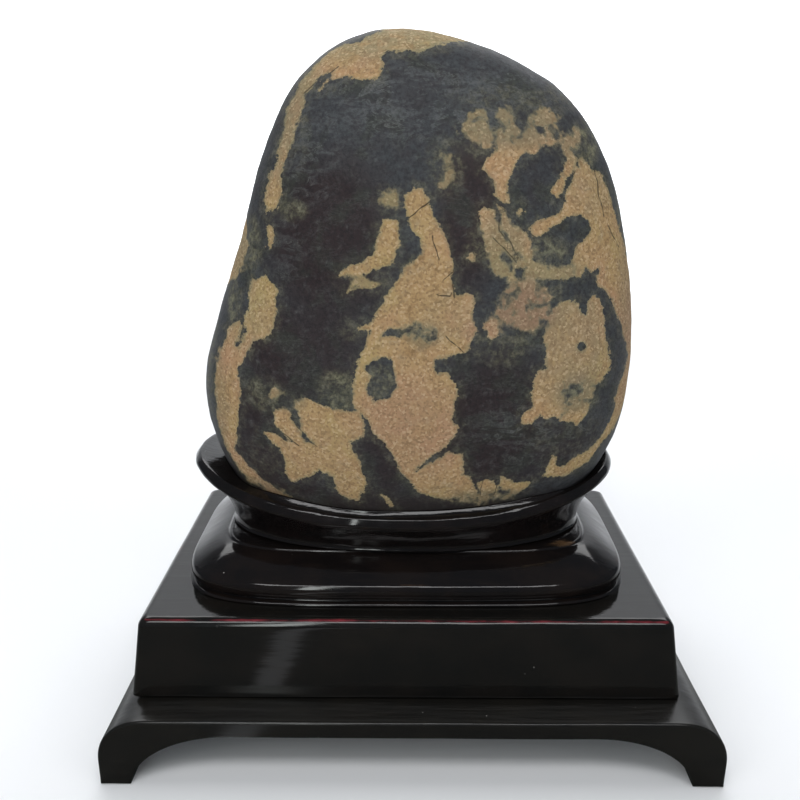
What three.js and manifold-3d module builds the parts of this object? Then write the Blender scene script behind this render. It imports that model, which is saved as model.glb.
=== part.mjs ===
// A desk-size viewing stone standing upright on a stepped, lacquered hardwood stand.
// Millimetres, +Z up. The origin is the centre of the footed base's footprint, on the surface that it
// stands on, and the stone's best face looks along -Y.
// From the bottom up: a footed base with a foot at each corner, a plinth with leaning sides, a seat tier
// with a bead round its edge, an open collar whose ends rise into ears, and the stone. The stone's
// underside beds in a hollow that runs through the collar and into the seat tier.
import * as THREE from "three";
import { mergeVertices } from "three/addons/utils/BufferGeometryUtils.js";
import Module from "manifold-3d";

const gap = 0.3; // left between pieces that touch
const stackShift = -2.5; // the stand above the footed base sits this far off its centre
const weldWithin = 1e-3; // corners closer than this are one corner

// How finely the round shapes are divided.
const facets = {
  curve: 10,
  corner: 4,
  edgeRound: 5,
  bead: 7,
  slope: 5,
  flare: 6,
  oval: 72,
  stoneAround: 66,
  stoneUp: 32,
  stoneOutline: 900,
};

const footedBase = {
  halfWidth: 125.6,
  halfDepth: 86,
  height: 30,
  shoulderHalfWidth: 106, // where the flat top starts to turn down
  shoulderHeight: 11, // where the turned-down end becomes upright
  footWidth: 12.3,
  footDepth: 20,
  archHeight: 22.4, // clear height under the board, between the left and right feet
  archReach: 40, // how far that arch takes to rise from a foot to its full height
  sideArchHeight: 20, // and the same for the lower arch between a front and a back foot
  sideArchReach: 26,
  endPull: 0.6, // handle of an end's curve, as a share of its run and rise
  archFootRun: 2.5, // the arch leaves a foot this far off the upright
  archFootPull: 0.66, // handle at the foot, as a share of the arch's height
  archTopPull: 0.45, // handle at the top, as a share of the arch's reach
};

const plinth = {
  halfWidth: 112.4, // at the bottom
  halfDepth: 71,
  height: 33.5,
  lean: 4.2, // how far each side comes in from bottom to top
  edgeRadius: 3.5,
  cornerRadius: 3,
};

const seatTier = {
  halfWidth: 96,
  halfDepth: 56.5,
  squareness: 4.6, // exponent of the plan, where 2 is an ellipse and a large one a rectangle
  beadHeight: 9.5,
  beadBulge: 0.6, // how far the bead stands out, as a share of half its height
  height: 17.5,
  slopeWidth: 12.5, // how far the sloping top runs in from the bead before it turns flat
};

const collar = {
  footHalfWidth: 79,
  footHalfDepth: 42,
  lipHalfWidth: 94,
  lipHalfDepth: 52,
  lipShift: -1.2, // the lip's middle, off the foot's
  squareness: 2.3,
  flare: 1.8, // how late the wall leans out on its way up, where 1 is straight
  lipHeight: 14.5, // the lip's lower edge at the front and back, above the collar's underside
  rimThickness: 4.5,
  innerRise: 3, // the rim climbs this far from its outer edge to the stone
  leftEarRise: 14.5,
  rightEarRise: 13,
  earSharpness: 2.4, // how late the rim starts to rise towards an ear
  blockDepth: 8, // the block is solid to this far below its rim before the socket is cut
  blockGrowth: -0.8,
};

// The rim from its outer edge inwards: growth from the foot's size to the lip's, then shares of the
// rim's thickness and of its inner rise.
const rimProfile = [
  [1.02, 0.4, 0],
  [0.96, 0.8, 0],
  [0.8, 1, 0],
  [0.4, 1, 0.6],
  [0, 1, 1],
];

const stone = {
  halfThickness: 54,
  fullness: 2.6, // exponent of the cross-section, where 2 is an ellipse
  centreX: 4,
  centreZ: 98, // above the stone's lowest point
  topThinning: 0.16, // share of the thickness that is lost towards the top
  thinningOffset: 0.3, // the loss starts this share of the half height below the middle
  swell: 0.03, // slow unevenness of the thickness, as a share of it
  swellAcross: 31, // length that sets the swells' spacing from side to side
  swellUp: 37,
  swellAcrossPhase: 0.8,
  swellUpPhase: -0.4,
  lowest: 74, // the height of its lowest point above the floor
};

// The stone's outline seen from the front, clockwise from its crown: X, and Z above its lowest point.
const stoneOutline = [
  [-7, 216.5], [28.5, 210.5], [59.5, 195], [81, 168], [91, 139], [96, 108], [97, 76],
  [91, 47], [75, 24], [43, 5.5], [0, 0], [-42, 5.5], [-72, 25], [-84.5, 48],
  [-88.5, 73], [-79.5, 107], [-68.5, 138], [-59.2, 168], [-46, 195], [-29, 210],
];

const wasm = await Module();
wasm.setup();

function material(colour, roughness, metalness = 0) {
  return new THREE.MeshStandardMaterial({ color: colour, roughness, metalness });
}

const lacquer = () => material(0x1a1512, 0.2);
const stoneSkin = material(0x5c554b, 0.75);

// Solids and geometries

function solidOf(geometry) {
  const bare = geometry.clone();
  bare.deleteAttribute("normal");
  bare.deleteAttribute("uv");
  const merged = mergeVertices(bare, weldWithin);
  const vertProperties = new Float32Array(merged.attributes.position.array);
  const triVerts = new Uint32Array(merged.index.array);
  return new wasm.Manifold(new wasm.Mesh({ numProp: 3, vertProperties, triVerts }));
}

function geometryOf(solid) {
  const mesh = solid.getMesh();
  const position = new THREE.BufferAttribute(new Float32Array(mesh.vertProperties), 3);
  const index = new THREE.BufferAttribute(new Uint32Array(mesh.triVerts), 1);
  const geometry = new THREE.BufferGeometry().setAttribute("position", position).setIndex(index);
  geometry.computeVertexNormals();
  return geometry;
}

// A closed surface through rings of points that all have the same count, from the lowest ring up.
function loft(rings) {
  const count = rings[0].length;
  const points = rings.flat();
  const triangles = [];
  for (let ring = 0; ring + 1 < rings.length; ring++) {
    for (let i = 0; i < count; i++) {
      const a = ring * count + i;
      const b = ring * count + ((i + 1) % count);
      triangles.push(a, b, b + count, a, b + count, a + count);
    }
  }
  for (const [ring, faceUp] of [[0, false], [rings.length - 1, true]]) {
    const hub = points.length;
    const middle = new THREE.Vector3();
    rings[ring].forEach((p) => middle.addScaledVector(p, 1 / count));
    points.push(middle);
    for (let i = 0; i < count; i++) {
      const a = ring * count + i;
      const b = ring * count + ((i + 1) % count);
      triangles.push(...(faceUp ? [hub, a, b] : [hub, b, a]));
    }
  }
  const geometry = new THREE.BufferGeometry().setFromPoints(points);
  geometry.setIndex(triangles);
  geometry.computeVertexNormals();
  return geometry;
}

// A rectangle with round corners, anticlockwise, with its corners drawn by the same number of points
// whatever its size, so that rings of several sizes can be lofted.
function roundedRing(halfX, halfY, radius, z) {
  const ring = [];
  for (let corner = 0; corner < 4; corner++) {
    const start = (corner * Math.PI) / 2;
    const centreX = (corner === 0 || corner === 3 ? 1 : -1) * (halfX - radius);
    const centreY = (corner < 2 ? 1 : -1) * (halfY - radius);
    for (let i = 0; i <= facets.corner; i++) {
      const angle = start + (i / facets.corner) * (Math.PI / 2);
      const x = centreX + radius * Math.cos(angle);
      const y = centreY + radius * Math.sin(angle);
      ring.push(new THREE.Vector3(x, y, z));
    }
  }
  return ring;
}

// An oval whose height can change along X: zAt takes the share of the half width, from -1 to 1.
function ovalRing(halfX, halfY, squareness, zAt, centreX = 0) {
  const ring = [];
  for (let i = 0; i < facets.oval; i++) {
    const angle = (i / facets.oval) * 2 * Math.PI;
    const c = Math.cos(angle);
    const s = Math.sin(angle);
    const share = Math.sign(c) * Math.abs(c) ** (2 / squareness);
    const y = halfY * Math.sign(s) * Math.abs(s) ** (2 / squareness);
    ring.push(new THREE.Vector3(centreX + halfX * share, y, zAt(share)));
  }
  return ring;
}

// Footed base: the front outline run from front to back, kept only where the side outline allows it.

// The underside of the board, from the left foot's inner corner to the right one's.
function addArch(shape, footInner, reach, height) {
  const archEnd = footInner - reach;
  const startRun = footedBase.archFootRun;
  const startRise = footedBase.archFootPull * height;
  const endRun = footedBase.archTopPull * reach;
  shape.bezierCurveTo(-footInner + startRun, startRise, -archEnd - endRun, height, -archEnd, height);
  shape.lineTo(archEnd, height);
  shape.bezierCurveTo(archEnd + endRun, height, footInner - startRun, startRise, footInner, 0);
}

function baseFrontShape() {
  const b = footedBase;
  const footInner = b.halfWidth - b.footWidth;
  const endRun = b.endPull * (b.halfWidth - b.shoulderHalfWidth);
  const endRise = b.endPull * (b.height - b.shoulderHeight);
  const shape = new THREE.Shape();
  shape.moveTo(footInner, 0);
  shape.lineTo(b.halfWidth, 0);
  shape.lineTo(b.halfWidth, b.shoulderHeight);
  shape.bezierCurveTo(
    b.halfWidth, b.shoulderHeight + endRise,
    b.shoulderHalfWidth + endRun, b.height,
    b.shoulderHalfWidth, b.height,
  );
  shape.lineTo(-b.shoulderHalfWidth, b.height);
  shape.bezierCurveTo(
    -b.shoulderHalfWidth - endRun, b.height,
    -b.halfWidth, b.shoulderHeight + endRise,
    -b.halfWidth, b.shoulderHeight,
  );
  shape.lineTo(-b.halfWidth, 0);
  shape.lineTo(-footInner, 0);
  addArch(shape, footInner, b.archReach, b.archHeight);
  return shape;
}

function baseSideShape() {
  const b = footedBase;
  const footInner = b.halfDepth - b.footDepth;
  const shape = new THREE.Shape();
  shape.moveTo(footInner, 0);
  shape.lineTo(b.halfDepth, 0);
  shape.lineTo(b.halfDepth, b.height);
  shape.lineTo(-b.halfDepth, b.height);
  shape.lineTo(-b.halfDepth, 0);
  shape.lineTo(-footInner, 0);
  addArch(shape, footInner, b.sideArchReach, b.sideArchHeight);
  return shape;
}

function footedBaseGeometry() {
  const b = footedBase;
  const frontToBack = new THREE.ExtrudeGeometry(baseFrontShape(), {
    depth: 2 * b.halfDepth, bevelEnabled: false, curveSegments: facets.curve,
  });
  frontToBack.translate(0, 0, -b.halfDepth);
  frontToBack.rotateX(Math.PI / 2);
  const overhang = 5; // runs past the ends, so that only the arches cut
  const leftToRight = new THREE.ExtrudeGeometry(baseSideShape(), {
    depth: 2 * (b.halfWidth + overhang), bevelEnabled: false, curveSegments: facets.curve,
  });
  leftToRight.translate(0, 0, -b.halfWidth - overhang);
  leftToRight.rotateX(Math.PI / 2);
  leftToRight.rotateZ(Math.PI / 2);
  return geometryOf(solidOf(frontToBack).intersect(solidOf(leftToRight)));
}

// Plinth: a low block whose sides lean in, with its top edge rounded over.

function plinthGeometry() {
  const p = plinth;
  const leanAt = (z) => (p.lean * z) / p.height;
  const ringAt = (z, inset) =>
    roundedRing(p.halfWidth - leanAt(z) - inset, p.halfDepth - leanAt(z) - inset, p.cornerRadius, z);
  const rings = [ringAt(0, 0)];
  for (let i = 0; i <= facets.edgeRound; i++) {
    const angle = (i / facets.edgeRound) * (Math.PI / 2);
    const z = p.height - p.edgeRadius * (1 - Math.sin(angle));
    rings.push(ringAt(z, p.edgeRadius * (1 - Math.cos(angle))));
  }
  return loft(rings);
}

// Seat tier: a bead round its lower edge, then a top that slopes up to a flat.

function seatTierGeometry() {
  const t = seatTier;
  const beadRadius = t.beadHeight / 2;
  const beadDepth = t.beadBulge * beadRadius;
  const outline = [[beadDepth, 0]]; // how far in from the widest part, and how high
  for (let i = 1; i <= facets.bead; i++) {
    const angle = (i / facets.bead - 0.5) * Math.PI;
    outline.push([beadDepth * (1 - Math.cos(angle)), beadRadius * (1 + Math.sin(angle))]);
  }
  for (let i = 1; i <= facets.slope; i++) {
    const share = i / facets.slope;
    const rise = (t.height - t.beadHeight) * Math.sin((share * Math.PI) / 2);
    outline.push([beadDepth + share * t.slopeWidth, t.beadHeight + rise]);
  }
  const rings = outline.map(([inset, z]) =>
    ovalRing(t.halfWidth - inset, t.halfDepth - inset, t.squareness, () => z));
  return loft(rings);
}

// Collar: a flare that rises from an oval foot to a lip, whose rim climbs into an ear at each end.

function collarGeometry() {
  const c = collar;
  const earRise = (side) => (side < 0 ? c.leftEarRise : c.rightEarRise) * Math.abs(side) ** c.earSharpness;
  // growth is 0 at the foot and 1 at the lip; height takes the ear's rise at a place on the ring
  const ringAt = (growth, height) => ovalRing(
    c.footHalfWidth + growth * (c.lipHalfWidth - c.footHalfWidth),
    c.footHalfDepth + growth * (c.lipHalfDepth - c.footHalfDepth),
    c.squareness,
    (side) => height(earRise(side)),
    growth * c.lipShift,
  );
  const rings = [];
  for (let i = 0; i <= facets.flare; i++) {
    const share = i / facets.flare;
    rings.push(ringAt(share ** c.flare, (ear) => share * (c.lipHeight + ear)));
  }
  for (const [growth, thickness, rise] of rimProfile) {
    const overLip = thickness * c.rimThickness + rise * c.innerRise;
    rings.push(ringAt(growth, (ear) => c.lipHeight + ear + overLip));
  }
  const blockTop = c.lipHeight + c.rimThickness + c.innerRise - c.blockDepth;
  rings.push(ringAt(c.blockGrowth, (ear) => blockTop + ear));
  return loft(rings);
}

// Stone: a ball pushed out to the outline, flattened front and back, and a little uneven.

// The distance from the stone's middle to its outline, in any direction.
function outlineReach() {
  const knots = stoneOutline.map(([x, z]) => new THREE.Vector3(x - stone.centreX, 0, z - stone.centreZ));
  const curve = new THREE.CatmullRomCurve3(knots, true, "centripetal");
  const points = curve.getPoints(facets.stoneOutline);
  const samples = points.map((p) => [Math.atan2(p.z, p.x), Math.hypot(p.x, p.z)]);
  samples.sort((a, b) => a[0] - b[0]);
  const first = samples[0];
  const last = samples[samples.length - 1];
  samples.unshift([last[0] - 2 * Math.PI, last[1]]);
  samples.push([first[0] + 2 * Math.PI, first[1]]);
  return (angle) => {
    const after = samples.findIndex((sample) => sample[0] >= angle);
    const [a1, r1] = samples[Math.max(after, 1)];
    const [a0, r0] = samples[Math.max(after, 1) - 1];
    return r0 + ((angle - a0) / (a1 - a0 || 1)) * (r1 - r0);
  };
}

function stoneGeometry() {
  const s = stone;
  const reachAt = outlineReach();
  const power = 2 / s.fullness;
  const geometry = new THREE.SphereGeometry(1, facets.stoneAround, facets.stoneUp);
  const position = geometry.getAttribute("position");
  for (let i = 0; i < position.count; i++) {
    const x = position.getX(i);
    const y = position.getY(i);
    const z = position.getZ(i);
    const angle = Math.atan2(z, x);
    const reach = Math.hypot(x, z) ** power * reachAt(angle);
    const across = reach * Math.cos(angle);
    const up = reach * Math.sin(angle);
    const thinning = 1 - s.topThinning * (s.thinningOffset + up / s.centreZ);
    const acrossWave = Math.sin(across / s.swellAcross + s.swellAcrossPhase);
    const upWave = Math.cos(up / s.swellUp + s.swellUpPhase);
    const swell = 1 + s.swell * acrossWave * upWave;
    const thickness = Math.sign(y) * Math.abs(y) ** power * s.halfThickness * thinning * swell;
    position.setXYZ(i, s.centreX + across, thickness, s.centreZ + up);
  }
  geometry.computeVertexNormals();
  return geometry;
}

// The same surface moved out by a distance, as a cutter.
function grown(geometry, distance) {
  const bigger = geometry.clone();
  bigger.deleteAttribute("uv");
  bigger.deleteAttribute("normal");
  const merged = mergeVertices(bigger, weldWithin);
  merged.computeVertexNormals();
  const position = merged.getAttribute("position");
  const normal = merged.getAttribute("normal");
  for (let i = 0; i < position.count; i++) {
    position.setXYZ(
      i,
      position.getX(i) + distance * normal.getX(i),
      position.getY(i) + distance * normal.getY(i),
      position.getZ(i) + distance * normal.getZ(i),
    );
  }
  return merged;
}

// Assembly

function addPiece(group, name, geometry, look, z) {
  const mesh = new THREE.Mesh(geometry, look);
  mesh.name = name;
  mesh.position.z = z;
  group.add(mesh);
}

const plinthZ = footedBase.height + gap;
const seatTierZ = plinthZ + plinth.height + gap;
const collarZ = seatTierZ + seatTier.height + gap;

const stoneShape = stoneGeometry();
const socket = solidOf(grown(stoneShape, gap));

function hollowed(geometry, z) {
  return geometryOf(solidOf(geometry).subtract(socket.translate([0, 0, stone.lowest - z])));
}

const object = new THREE.Group();
addPiece(object, "footed_base", footedBaseGeometry(), lacquer(), 0);

const stack = new THREE.Group();
stack.position.x = stackShift;
addPiece(stack, "plinth", plinthGeometry(), lacquer(), plinthZ);
addPiece(stack, "seat_tier", hollowed(seatTierGeometry(), seatTierZ), lacquer(), seatTierZ);
addPiece(stack, "collar", hollowed(collarGeometry(), collarZ), lacquer(), collarZ);
addPiece(stack, "stone", stoneShape, stoneSkin, stone.lowest);
object.add(stack);

export default object;
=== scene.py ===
import math

import bmesh
import bpy
import numpy as np
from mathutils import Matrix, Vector, noise
from mathutils.bvhtree import BVHTree


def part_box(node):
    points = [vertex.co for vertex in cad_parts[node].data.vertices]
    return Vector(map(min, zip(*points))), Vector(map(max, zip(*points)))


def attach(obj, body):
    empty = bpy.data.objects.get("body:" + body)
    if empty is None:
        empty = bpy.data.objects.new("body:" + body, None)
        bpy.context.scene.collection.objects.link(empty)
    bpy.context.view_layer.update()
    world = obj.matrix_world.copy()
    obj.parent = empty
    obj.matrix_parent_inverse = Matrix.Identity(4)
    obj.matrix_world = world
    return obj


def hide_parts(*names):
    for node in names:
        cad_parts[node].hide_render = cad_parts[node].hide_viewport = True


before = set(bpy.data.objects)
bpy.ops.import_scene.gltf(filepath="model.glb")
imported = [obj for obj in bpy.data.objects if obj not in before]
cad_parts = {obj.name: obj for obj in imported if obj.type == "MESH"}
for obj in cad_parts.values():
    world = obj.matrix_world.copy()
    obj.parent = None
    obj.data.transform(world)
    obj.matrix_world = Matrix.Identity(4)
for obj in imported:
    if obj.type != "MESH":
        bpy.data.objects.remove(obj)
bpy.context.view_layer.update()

# A desk-size viewing stone on a stepped, lacquered stand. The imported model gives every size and
# place; this script makes the fine surfaces and the finishes. Metres, +Z up.

mm = 0.001
plinthLow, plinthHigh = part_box("plinth")
tierLow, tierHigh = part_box("seat_tier")
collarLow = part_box("collar")[0]
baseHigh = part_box("footed_base")[1]
stackX = (plinthLow.x + plinthHigh.x) / 2  # the plinth's middle


# Shader helpers

def newMaterial(name):
    material = bpy.data.materials.new(name)
    material.use_nodes = True
    tree = material.node_tree
    return material, tree, tree.nodes["Principled BSDF"]


def addNode(tree, kind, values=None, **settings):
    node = tree.nodes.new(kind)
    for setting, value in settings.items():
        setattr(node, setting, value)
    for socket, value in (values or {}).items():
        if isinstance(value, bpy.types.NodeSocket):
            tree.links.new(value, node.inputs[socket])
        else:
            node.inputs[socket].default_value = value
    return node


def mathNode(tree, operation, a, b=0.0, c=0.0, clamp=False):
    values = {0: a, 1: b, 2: c}
    return addNode(tree, "ShaderNodeMath", values, operation=operation, use_clamp=clamp).outputs[0]


def noiseNode(tree, vector, scale, detail=2.0, roughness=0.5, distortion=0.0):
    values = {"Vector": vector, "Scale": scale, "Detail": detail, "Roughness": roughness,
              "Distortion": distortion}
    return addNode(tree, "ShaderNodeTexNoise", values).outputs["Fac"]


def rampNode(tree, value, low, high, toLow=0.0, toHigh=1.0):
    values = {"Value": value, "From Min": low, "From Max": high, "To Min": toLow, "To Max": toHigh}
    return addNode(tree, "ShaderNodeMapRange", values, interpolation_type="SMOOTHSTEP").outputs[0]


def mixColour(tree, factor, a, b):
    return addNode(tree, "ShaderNodeMix", {0: factor, 6: a, 7: b}, data_type="RGBA").outputs[2]


def maskOf(tree, name):
    return addNode(tree, "ShaderNodeAttribute", attribute_name=name).outputs["Fac"]


def newGroup(name, inputs, outputs):
    group = bpy.data.node_groups.new(name, "ShaderNodeTree")
    for label, kind in inputs:
        group.interface.new_socket(name=label, in_out="INPUT", socket_type=kind)
    for label, kind in outputs:
        group.interface.new_socket(name=label, in_out="OUTPUT", socket_type=kind)
    return group, group.nodes.new("NodeGroupInput").outputs, group.nodes.new("NodeGroupOutput")


def placeGroup(tree, group, values):
    return addNode(tree, "ShaderNodeGroup", values, node_tree=group).outputs


# Camera, stage and lights

cameraSetup = {
    "standOff": 358.7 * mm,  # from the middle of the stand, towards -Y
    "height": 248.5 * mm,
    "tiltDown": 17.41,  # degrees
    "turnLeft": 0.434,
    "lens": 37.4,
}

stageSetup = {
    "floorSize": 5.0,
    "flatDepth": 1.0,  # flat this far behind the stand, then it sweeps up
    "sweepRadius": 0.6,
    "sweepSteps": 12,
    "wallHeight": 2.6,
    "colour": (0.83, 0.84, 0.86, 1),
    # painted shade that only glossy surfaces see on the near floor
    "mirroredShadeColour": (0.1, 0.105, 0.1, 1),
    "mirroredShadeFrom": (0.25, -0.1),  # places along Y where the painted shade in reflections begins and is full
    "glowFrom": (0.8, 1.7),  # far from the stand the paper is shown evenly pale
    "glow": 0.9,
    "gap": (-0.079, -0.07, 0.006),  # a painted window reflection in that shade: its left and right edge along X, their softness
    "gapClear": 0.95,  # share of the painted shade that is missing there
}

lightSetup = {
    # name: (place, size, watts, colour, aims at)
    "ceiling": ((0.0, 0.2, 1.5), (1.7, 0.9), 8, (1.0, 0.99, 0.97), (0.0, 0.0, 0.1)),
    "high": ((0.0, -0.85, 1.35), (1.3, 0.32), 8, (1.0, 1.0, 1.0), (0.0, 0.0, 0.1)),
    "behind": ((0.0, 1.2, 1.5), (2.6, 0.9), 24, (1.0, 1.0, 1.0), (0.0, 1.4, 0.3)),
    "left": ((-1.05, -0.95, 0.95), (0.8, 0.9), 5, (1.0, 0.98, 0.95), (0.0, 0.0, 0.18)),
    "right": ((1.15, -0.8, 1.0), (0.8, 0.9), 3.8, (1.0, 0.98, 0.95), (0.0, 0.0, 0.18)),
    "window": ((-0.27, -1.35, 0.8), (0.11, 0.95), 3, (0.95, 1.0, 0.97), (0.0, 0.0, 0.1)),
}
unmirrored = ("ceiling", "left", "right")  # these light the surfaces but leave no reflection
worldLight = {"colour": (0.7, 0.84, 1.0, 1), "strength": 0.15}
shownWorld = {"colour": (0.93, 0.94, 0.95, 1), "strength": 0.95}  # where it is looked at


def makeCamera():
    setup = cameraSetup
    data = bpy.data.cameras.new("camera")
    data.sensor_width = 36
    data.lens = setup["lens"]
    data.clip_start = 0.01
    camera = bpy.data.objects.new("camera", data)
    camera.location = (stackX, -setup["standOff"], setup["height"])
    tilt = math.radians(90 - setup["tiltDown"])
    camera.rotation_euler = (tilt, 0, math.radians(setup["turnLeft"]))
    bpy.context.scene.collection.objects.link(camera)
    bpy.context.scene.camera = camera


def makeStage():
    setup = stageSetup
    profile = [(-setup["floorSize"] / 2, 0.0), (0.0, 0.0), (setup["flatDepth"], 0.0)]
    radius = setup["sweepRadius"]
    for step in range(1, setup["sweepSteps"] + 1):
        angle = step / setup["sweepSteps"] * math.pi / 2
        y = setup["flatDepth"] + radius * math.sin(angle)
        profile.append((y, radius * (1 - math.cos(angle))))
    profile.append((profile[-1][0], setup["wallHeight"]))
    halfWidth = setup["floorSize"] / 2
    points = [(x, y, z) for y, z in profile for x in (-halfWidth, halfWidth)]
    faces = [(2 * i, 2 * i + 1, 2 * i + 3, 2 * i + 2) for i in range(len(profile) - 1)]
    mesh = bpy.data.meshes.new("sweep")
    mesh.from_pydata(points, [], faces)
    mesh.polygons.foreach_set("use_smooth", [True] * len(faces))
    sweep = bpy.data.objects.new("sweep", mesh)
    bpy.context.scene.collection.objects.link(sweep)
    mesh.materials.append(paperMaterial())


# Pale paper. Glossy surfaces see its near part darker, a painted shade in reflections only, with a stripe
# left bright in it as a painted window reflection.
def paperMaterial():
    setup = stageSetup
    paper, tree, shader = newMaterial("palePaper")
    shader.inputs["Roughness"].default_value = 0.9
    shader.inputs["Specular IOR Level"].default_value = 0.1
    place = addNode(tree, "ShaderNodeTexCoord").outputs["Object"]
    parts = addNode(tree, "ShaderNodeSeparateXYZ", {0: place}).outputs
    mirroredShade = rampNode(tree, parts["Y"], *setup["mirroredShadeFrom"])
    gapLeft, gapRight, gapSoftness = setup["gap"]
    left = rampNode(tree, parts["X"], gapLeft - gapSoftness, gapLeft)
    right = rampNode(tree, parts["X"], gapRight + gapSoftness, gapRight)
    gap = mathNode(tree, "MULTIPLY", left, right)
    shadeShare = mathNode(tree, "MULTIPLY_ADD", gap, -setup["gapClear"], 1.0)
    mirroredShade = mathNode(tree, "MULTIPLY", mirroredShade, shadeShare)
    light = addNode(tree, "ShaderNodeLightPath")
    flat = addNode(tree, "ShaderNodeVectorMath", {0: place, 1: (1, 1, 0)}, operation="MULTIPLY")
    away = addNode(tree, "ShaderNodeVectorMath", {0: flat.outputs[0]}, operation="LENGTH").outputs["Value"]
    glow = rampNode(tree, away, *setup["glowFrom"], 0.0, setup["glow"])
    shader.inputs["Emission Color"].default_value = shownWorld["colour"]
    glow = mathNode(tree, "MULTIPLY", glow, light.outputs["Is Camera Ray"])
    tree.links.new(glow, shader.inputs["Emission Strength"])
    # painted shade and a painted window reflection, for glossy rays only
    share = mathNode(tree, "MULTIPLY", mirroredShade, light.outputs["Is Glossy Ray"])
    tree.links.new(mixColour(tree, share, setup["colour"], setup["mirroredShadeColour"]), shader.inputs["Base Color"])
    return paper


def makeLights():
    for name, (place, size, watts, colour, aim) in lightSetup.items():
        data = bpy.data.lights.new(name, "AREA")
        data.shape = "RECTANGLE"
        data.size, data.size_y = size
        data.energy = watts
        data.color = colour
        light = bpy.data.objects.new(name, data)
        light.location = place
        light.visible_glossy = name not in unmirrored
        light.rotation_euler = (Vector(aim) - Vector(place)).to_track_quat("-Z", "Y").to_euler()
        bpy.context.scene.collection.objects.link(light)
    world = bpy.data.worlds.new("room")
    bpy.context.scene.world = world
    world.use_nodes = True
    tree = world.node_tree
    sky = tree.nodes["Background"]
    seen = addNode(tree, "ShaderNodeLightPath").outputs["Is Camera Ray"]
    tree.links.new(mixColour(tree, seen, worldLight["colour"], shownWorld["colour"]), sky.inputs["Color"])
    extra = shownWorld["strength"] - worldLight["strength"]
    strength = mathNode(tree, "MULTIPLY_ADD", seen, extra, worldLight["strength"])
    tree.links.new(strength, sky.inputs["Strength"])


makeCamera()
makeStage()
makeLights()
bpy.context.scene.view_settings.view_transform = "Standard"
print("stage, camera and lights are ready")


# Mesh helpers

driftShifts = (Vector((9.3, 1.5, 3.3)), Vector((-7.1, 5.2, 2.8)), Vector((4.9, -8.4, 6.1)))


# A small push that changes smoothly from place to place, the same on every run.
def drift(place):
    return Vector([noise.noise(place + shift) for shift in driftShifts])


def smoothStep(low, high, values):
    share = np.clip((values - low) / (high - low), 0, 1)
    return share * share * (3 - 2 * share)


def makePiece(name, points, faces, masks=None):
    mesh = bpy.data.meshes.new(name)
    mesh.from_pydata([tuple(p) for p in points], [], faces)
    mesh.update()
    mesh.polygons.foreach_set("use_smooth", [True] * len(mesh.polygons))
    for mask, values in (masks or {}).items():
        layer = mesh.attributes.new(mask, "FLOAT", "POINT")
        layer.data.foreach_set("value", np.asarray(values, np.float32))
    piece = bpy.data.objects.new(name, mesh)
    bpy.context.scene.collection.objects.link(piece)
    return piece


def loftFaces(ringCount, pointCount, closed=False):
    faces = []
    for ring in range(ringCount if closed else ringCount - 1):
        below = ring * pointCount
        above = (ring + 1) % ringCount * pointCount
        for i in range(pointCount):
            j = (i + 1) % pointCount
            faces.append((below + i, below + j, above + j, above + i))
    return faces


def cappedFaces(ringCount, pointCount):
    faces = loftFaces(ringCount, pointCount)
    faces.append(tuple(reversed(range(pointCount))))
    faces.append(tuple((ringCount - 1) * pointCount + i for i in range(pointCount)))
    return faces


# A slow, smooth wander of a surface, as a hand plane and a file leave it.
def handWorked(points, amount, size, seed):
    shift = Vector((seed * 7.1, seed * 3.7, seed * 5.3))
    moved = [Vector(p) + amount * drift(Vector(p) / size + shift) for p in points]
    return np.array([tuple(p) for p in moved])


def superOval(halfX, halfY, squareness, count):
    angles = np.arange(count) / count * 2 * math.pi
    c, s = np.cos(angles), np.sin(angles)
    x = np.sign(c) * np.abs(c) ** (2 / squareness)
    y = np.sign(s) * np.abs(s) ** (2 / squareness)
    return halfX * x, halfY * y, x


def finishPiece(piece, node, material):
    piece.data.materials.append(material)
    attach(piece, "root")
    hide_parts(node)
    print(piece.name, "has", len(piece.data.polygons), "faces")


# The stone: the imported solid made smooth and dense, worn into a slow relief, and marked with
# buff patches. Patches are drawn on the face as outlines of X and Z in millimetres.

stoneBuild = {
    "across": 176,  # squares over the face, across and up
    "through": 52,  # squares over its thickness
    "bulge": 0.96,  # 1 would space the squares evenly by angle
    "rounds": 14,  # of evening out
    "relief": ((0.9, 34), (0.32, 11), (0.10, 3.2)),  # height and width of its swells, mm
    "reliefSeed": (3.1, 7.7, 1.9),
    "patchDrop": 0.22,  # mm that the softer buff patches lie below the dark rock
    "dropEdge": (-0.6, 1.2),  # mm to a patch's edge, outside and inside, between which they sink
    "backBlend": (-4, 22),  # mm of Y over which the face's patches give way to the back's
    "backFade": 0.6,  # share of the soft spots' strength that is lost there
    "crackWander": (0.7, 4, 0.5),  # how far and how often cracks wander, in mm, and a seed
}
patchReach = 15  # mm, the farthest that a patch's edge is measured
crackReach = 9  # mm, the same for a crack

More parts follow.
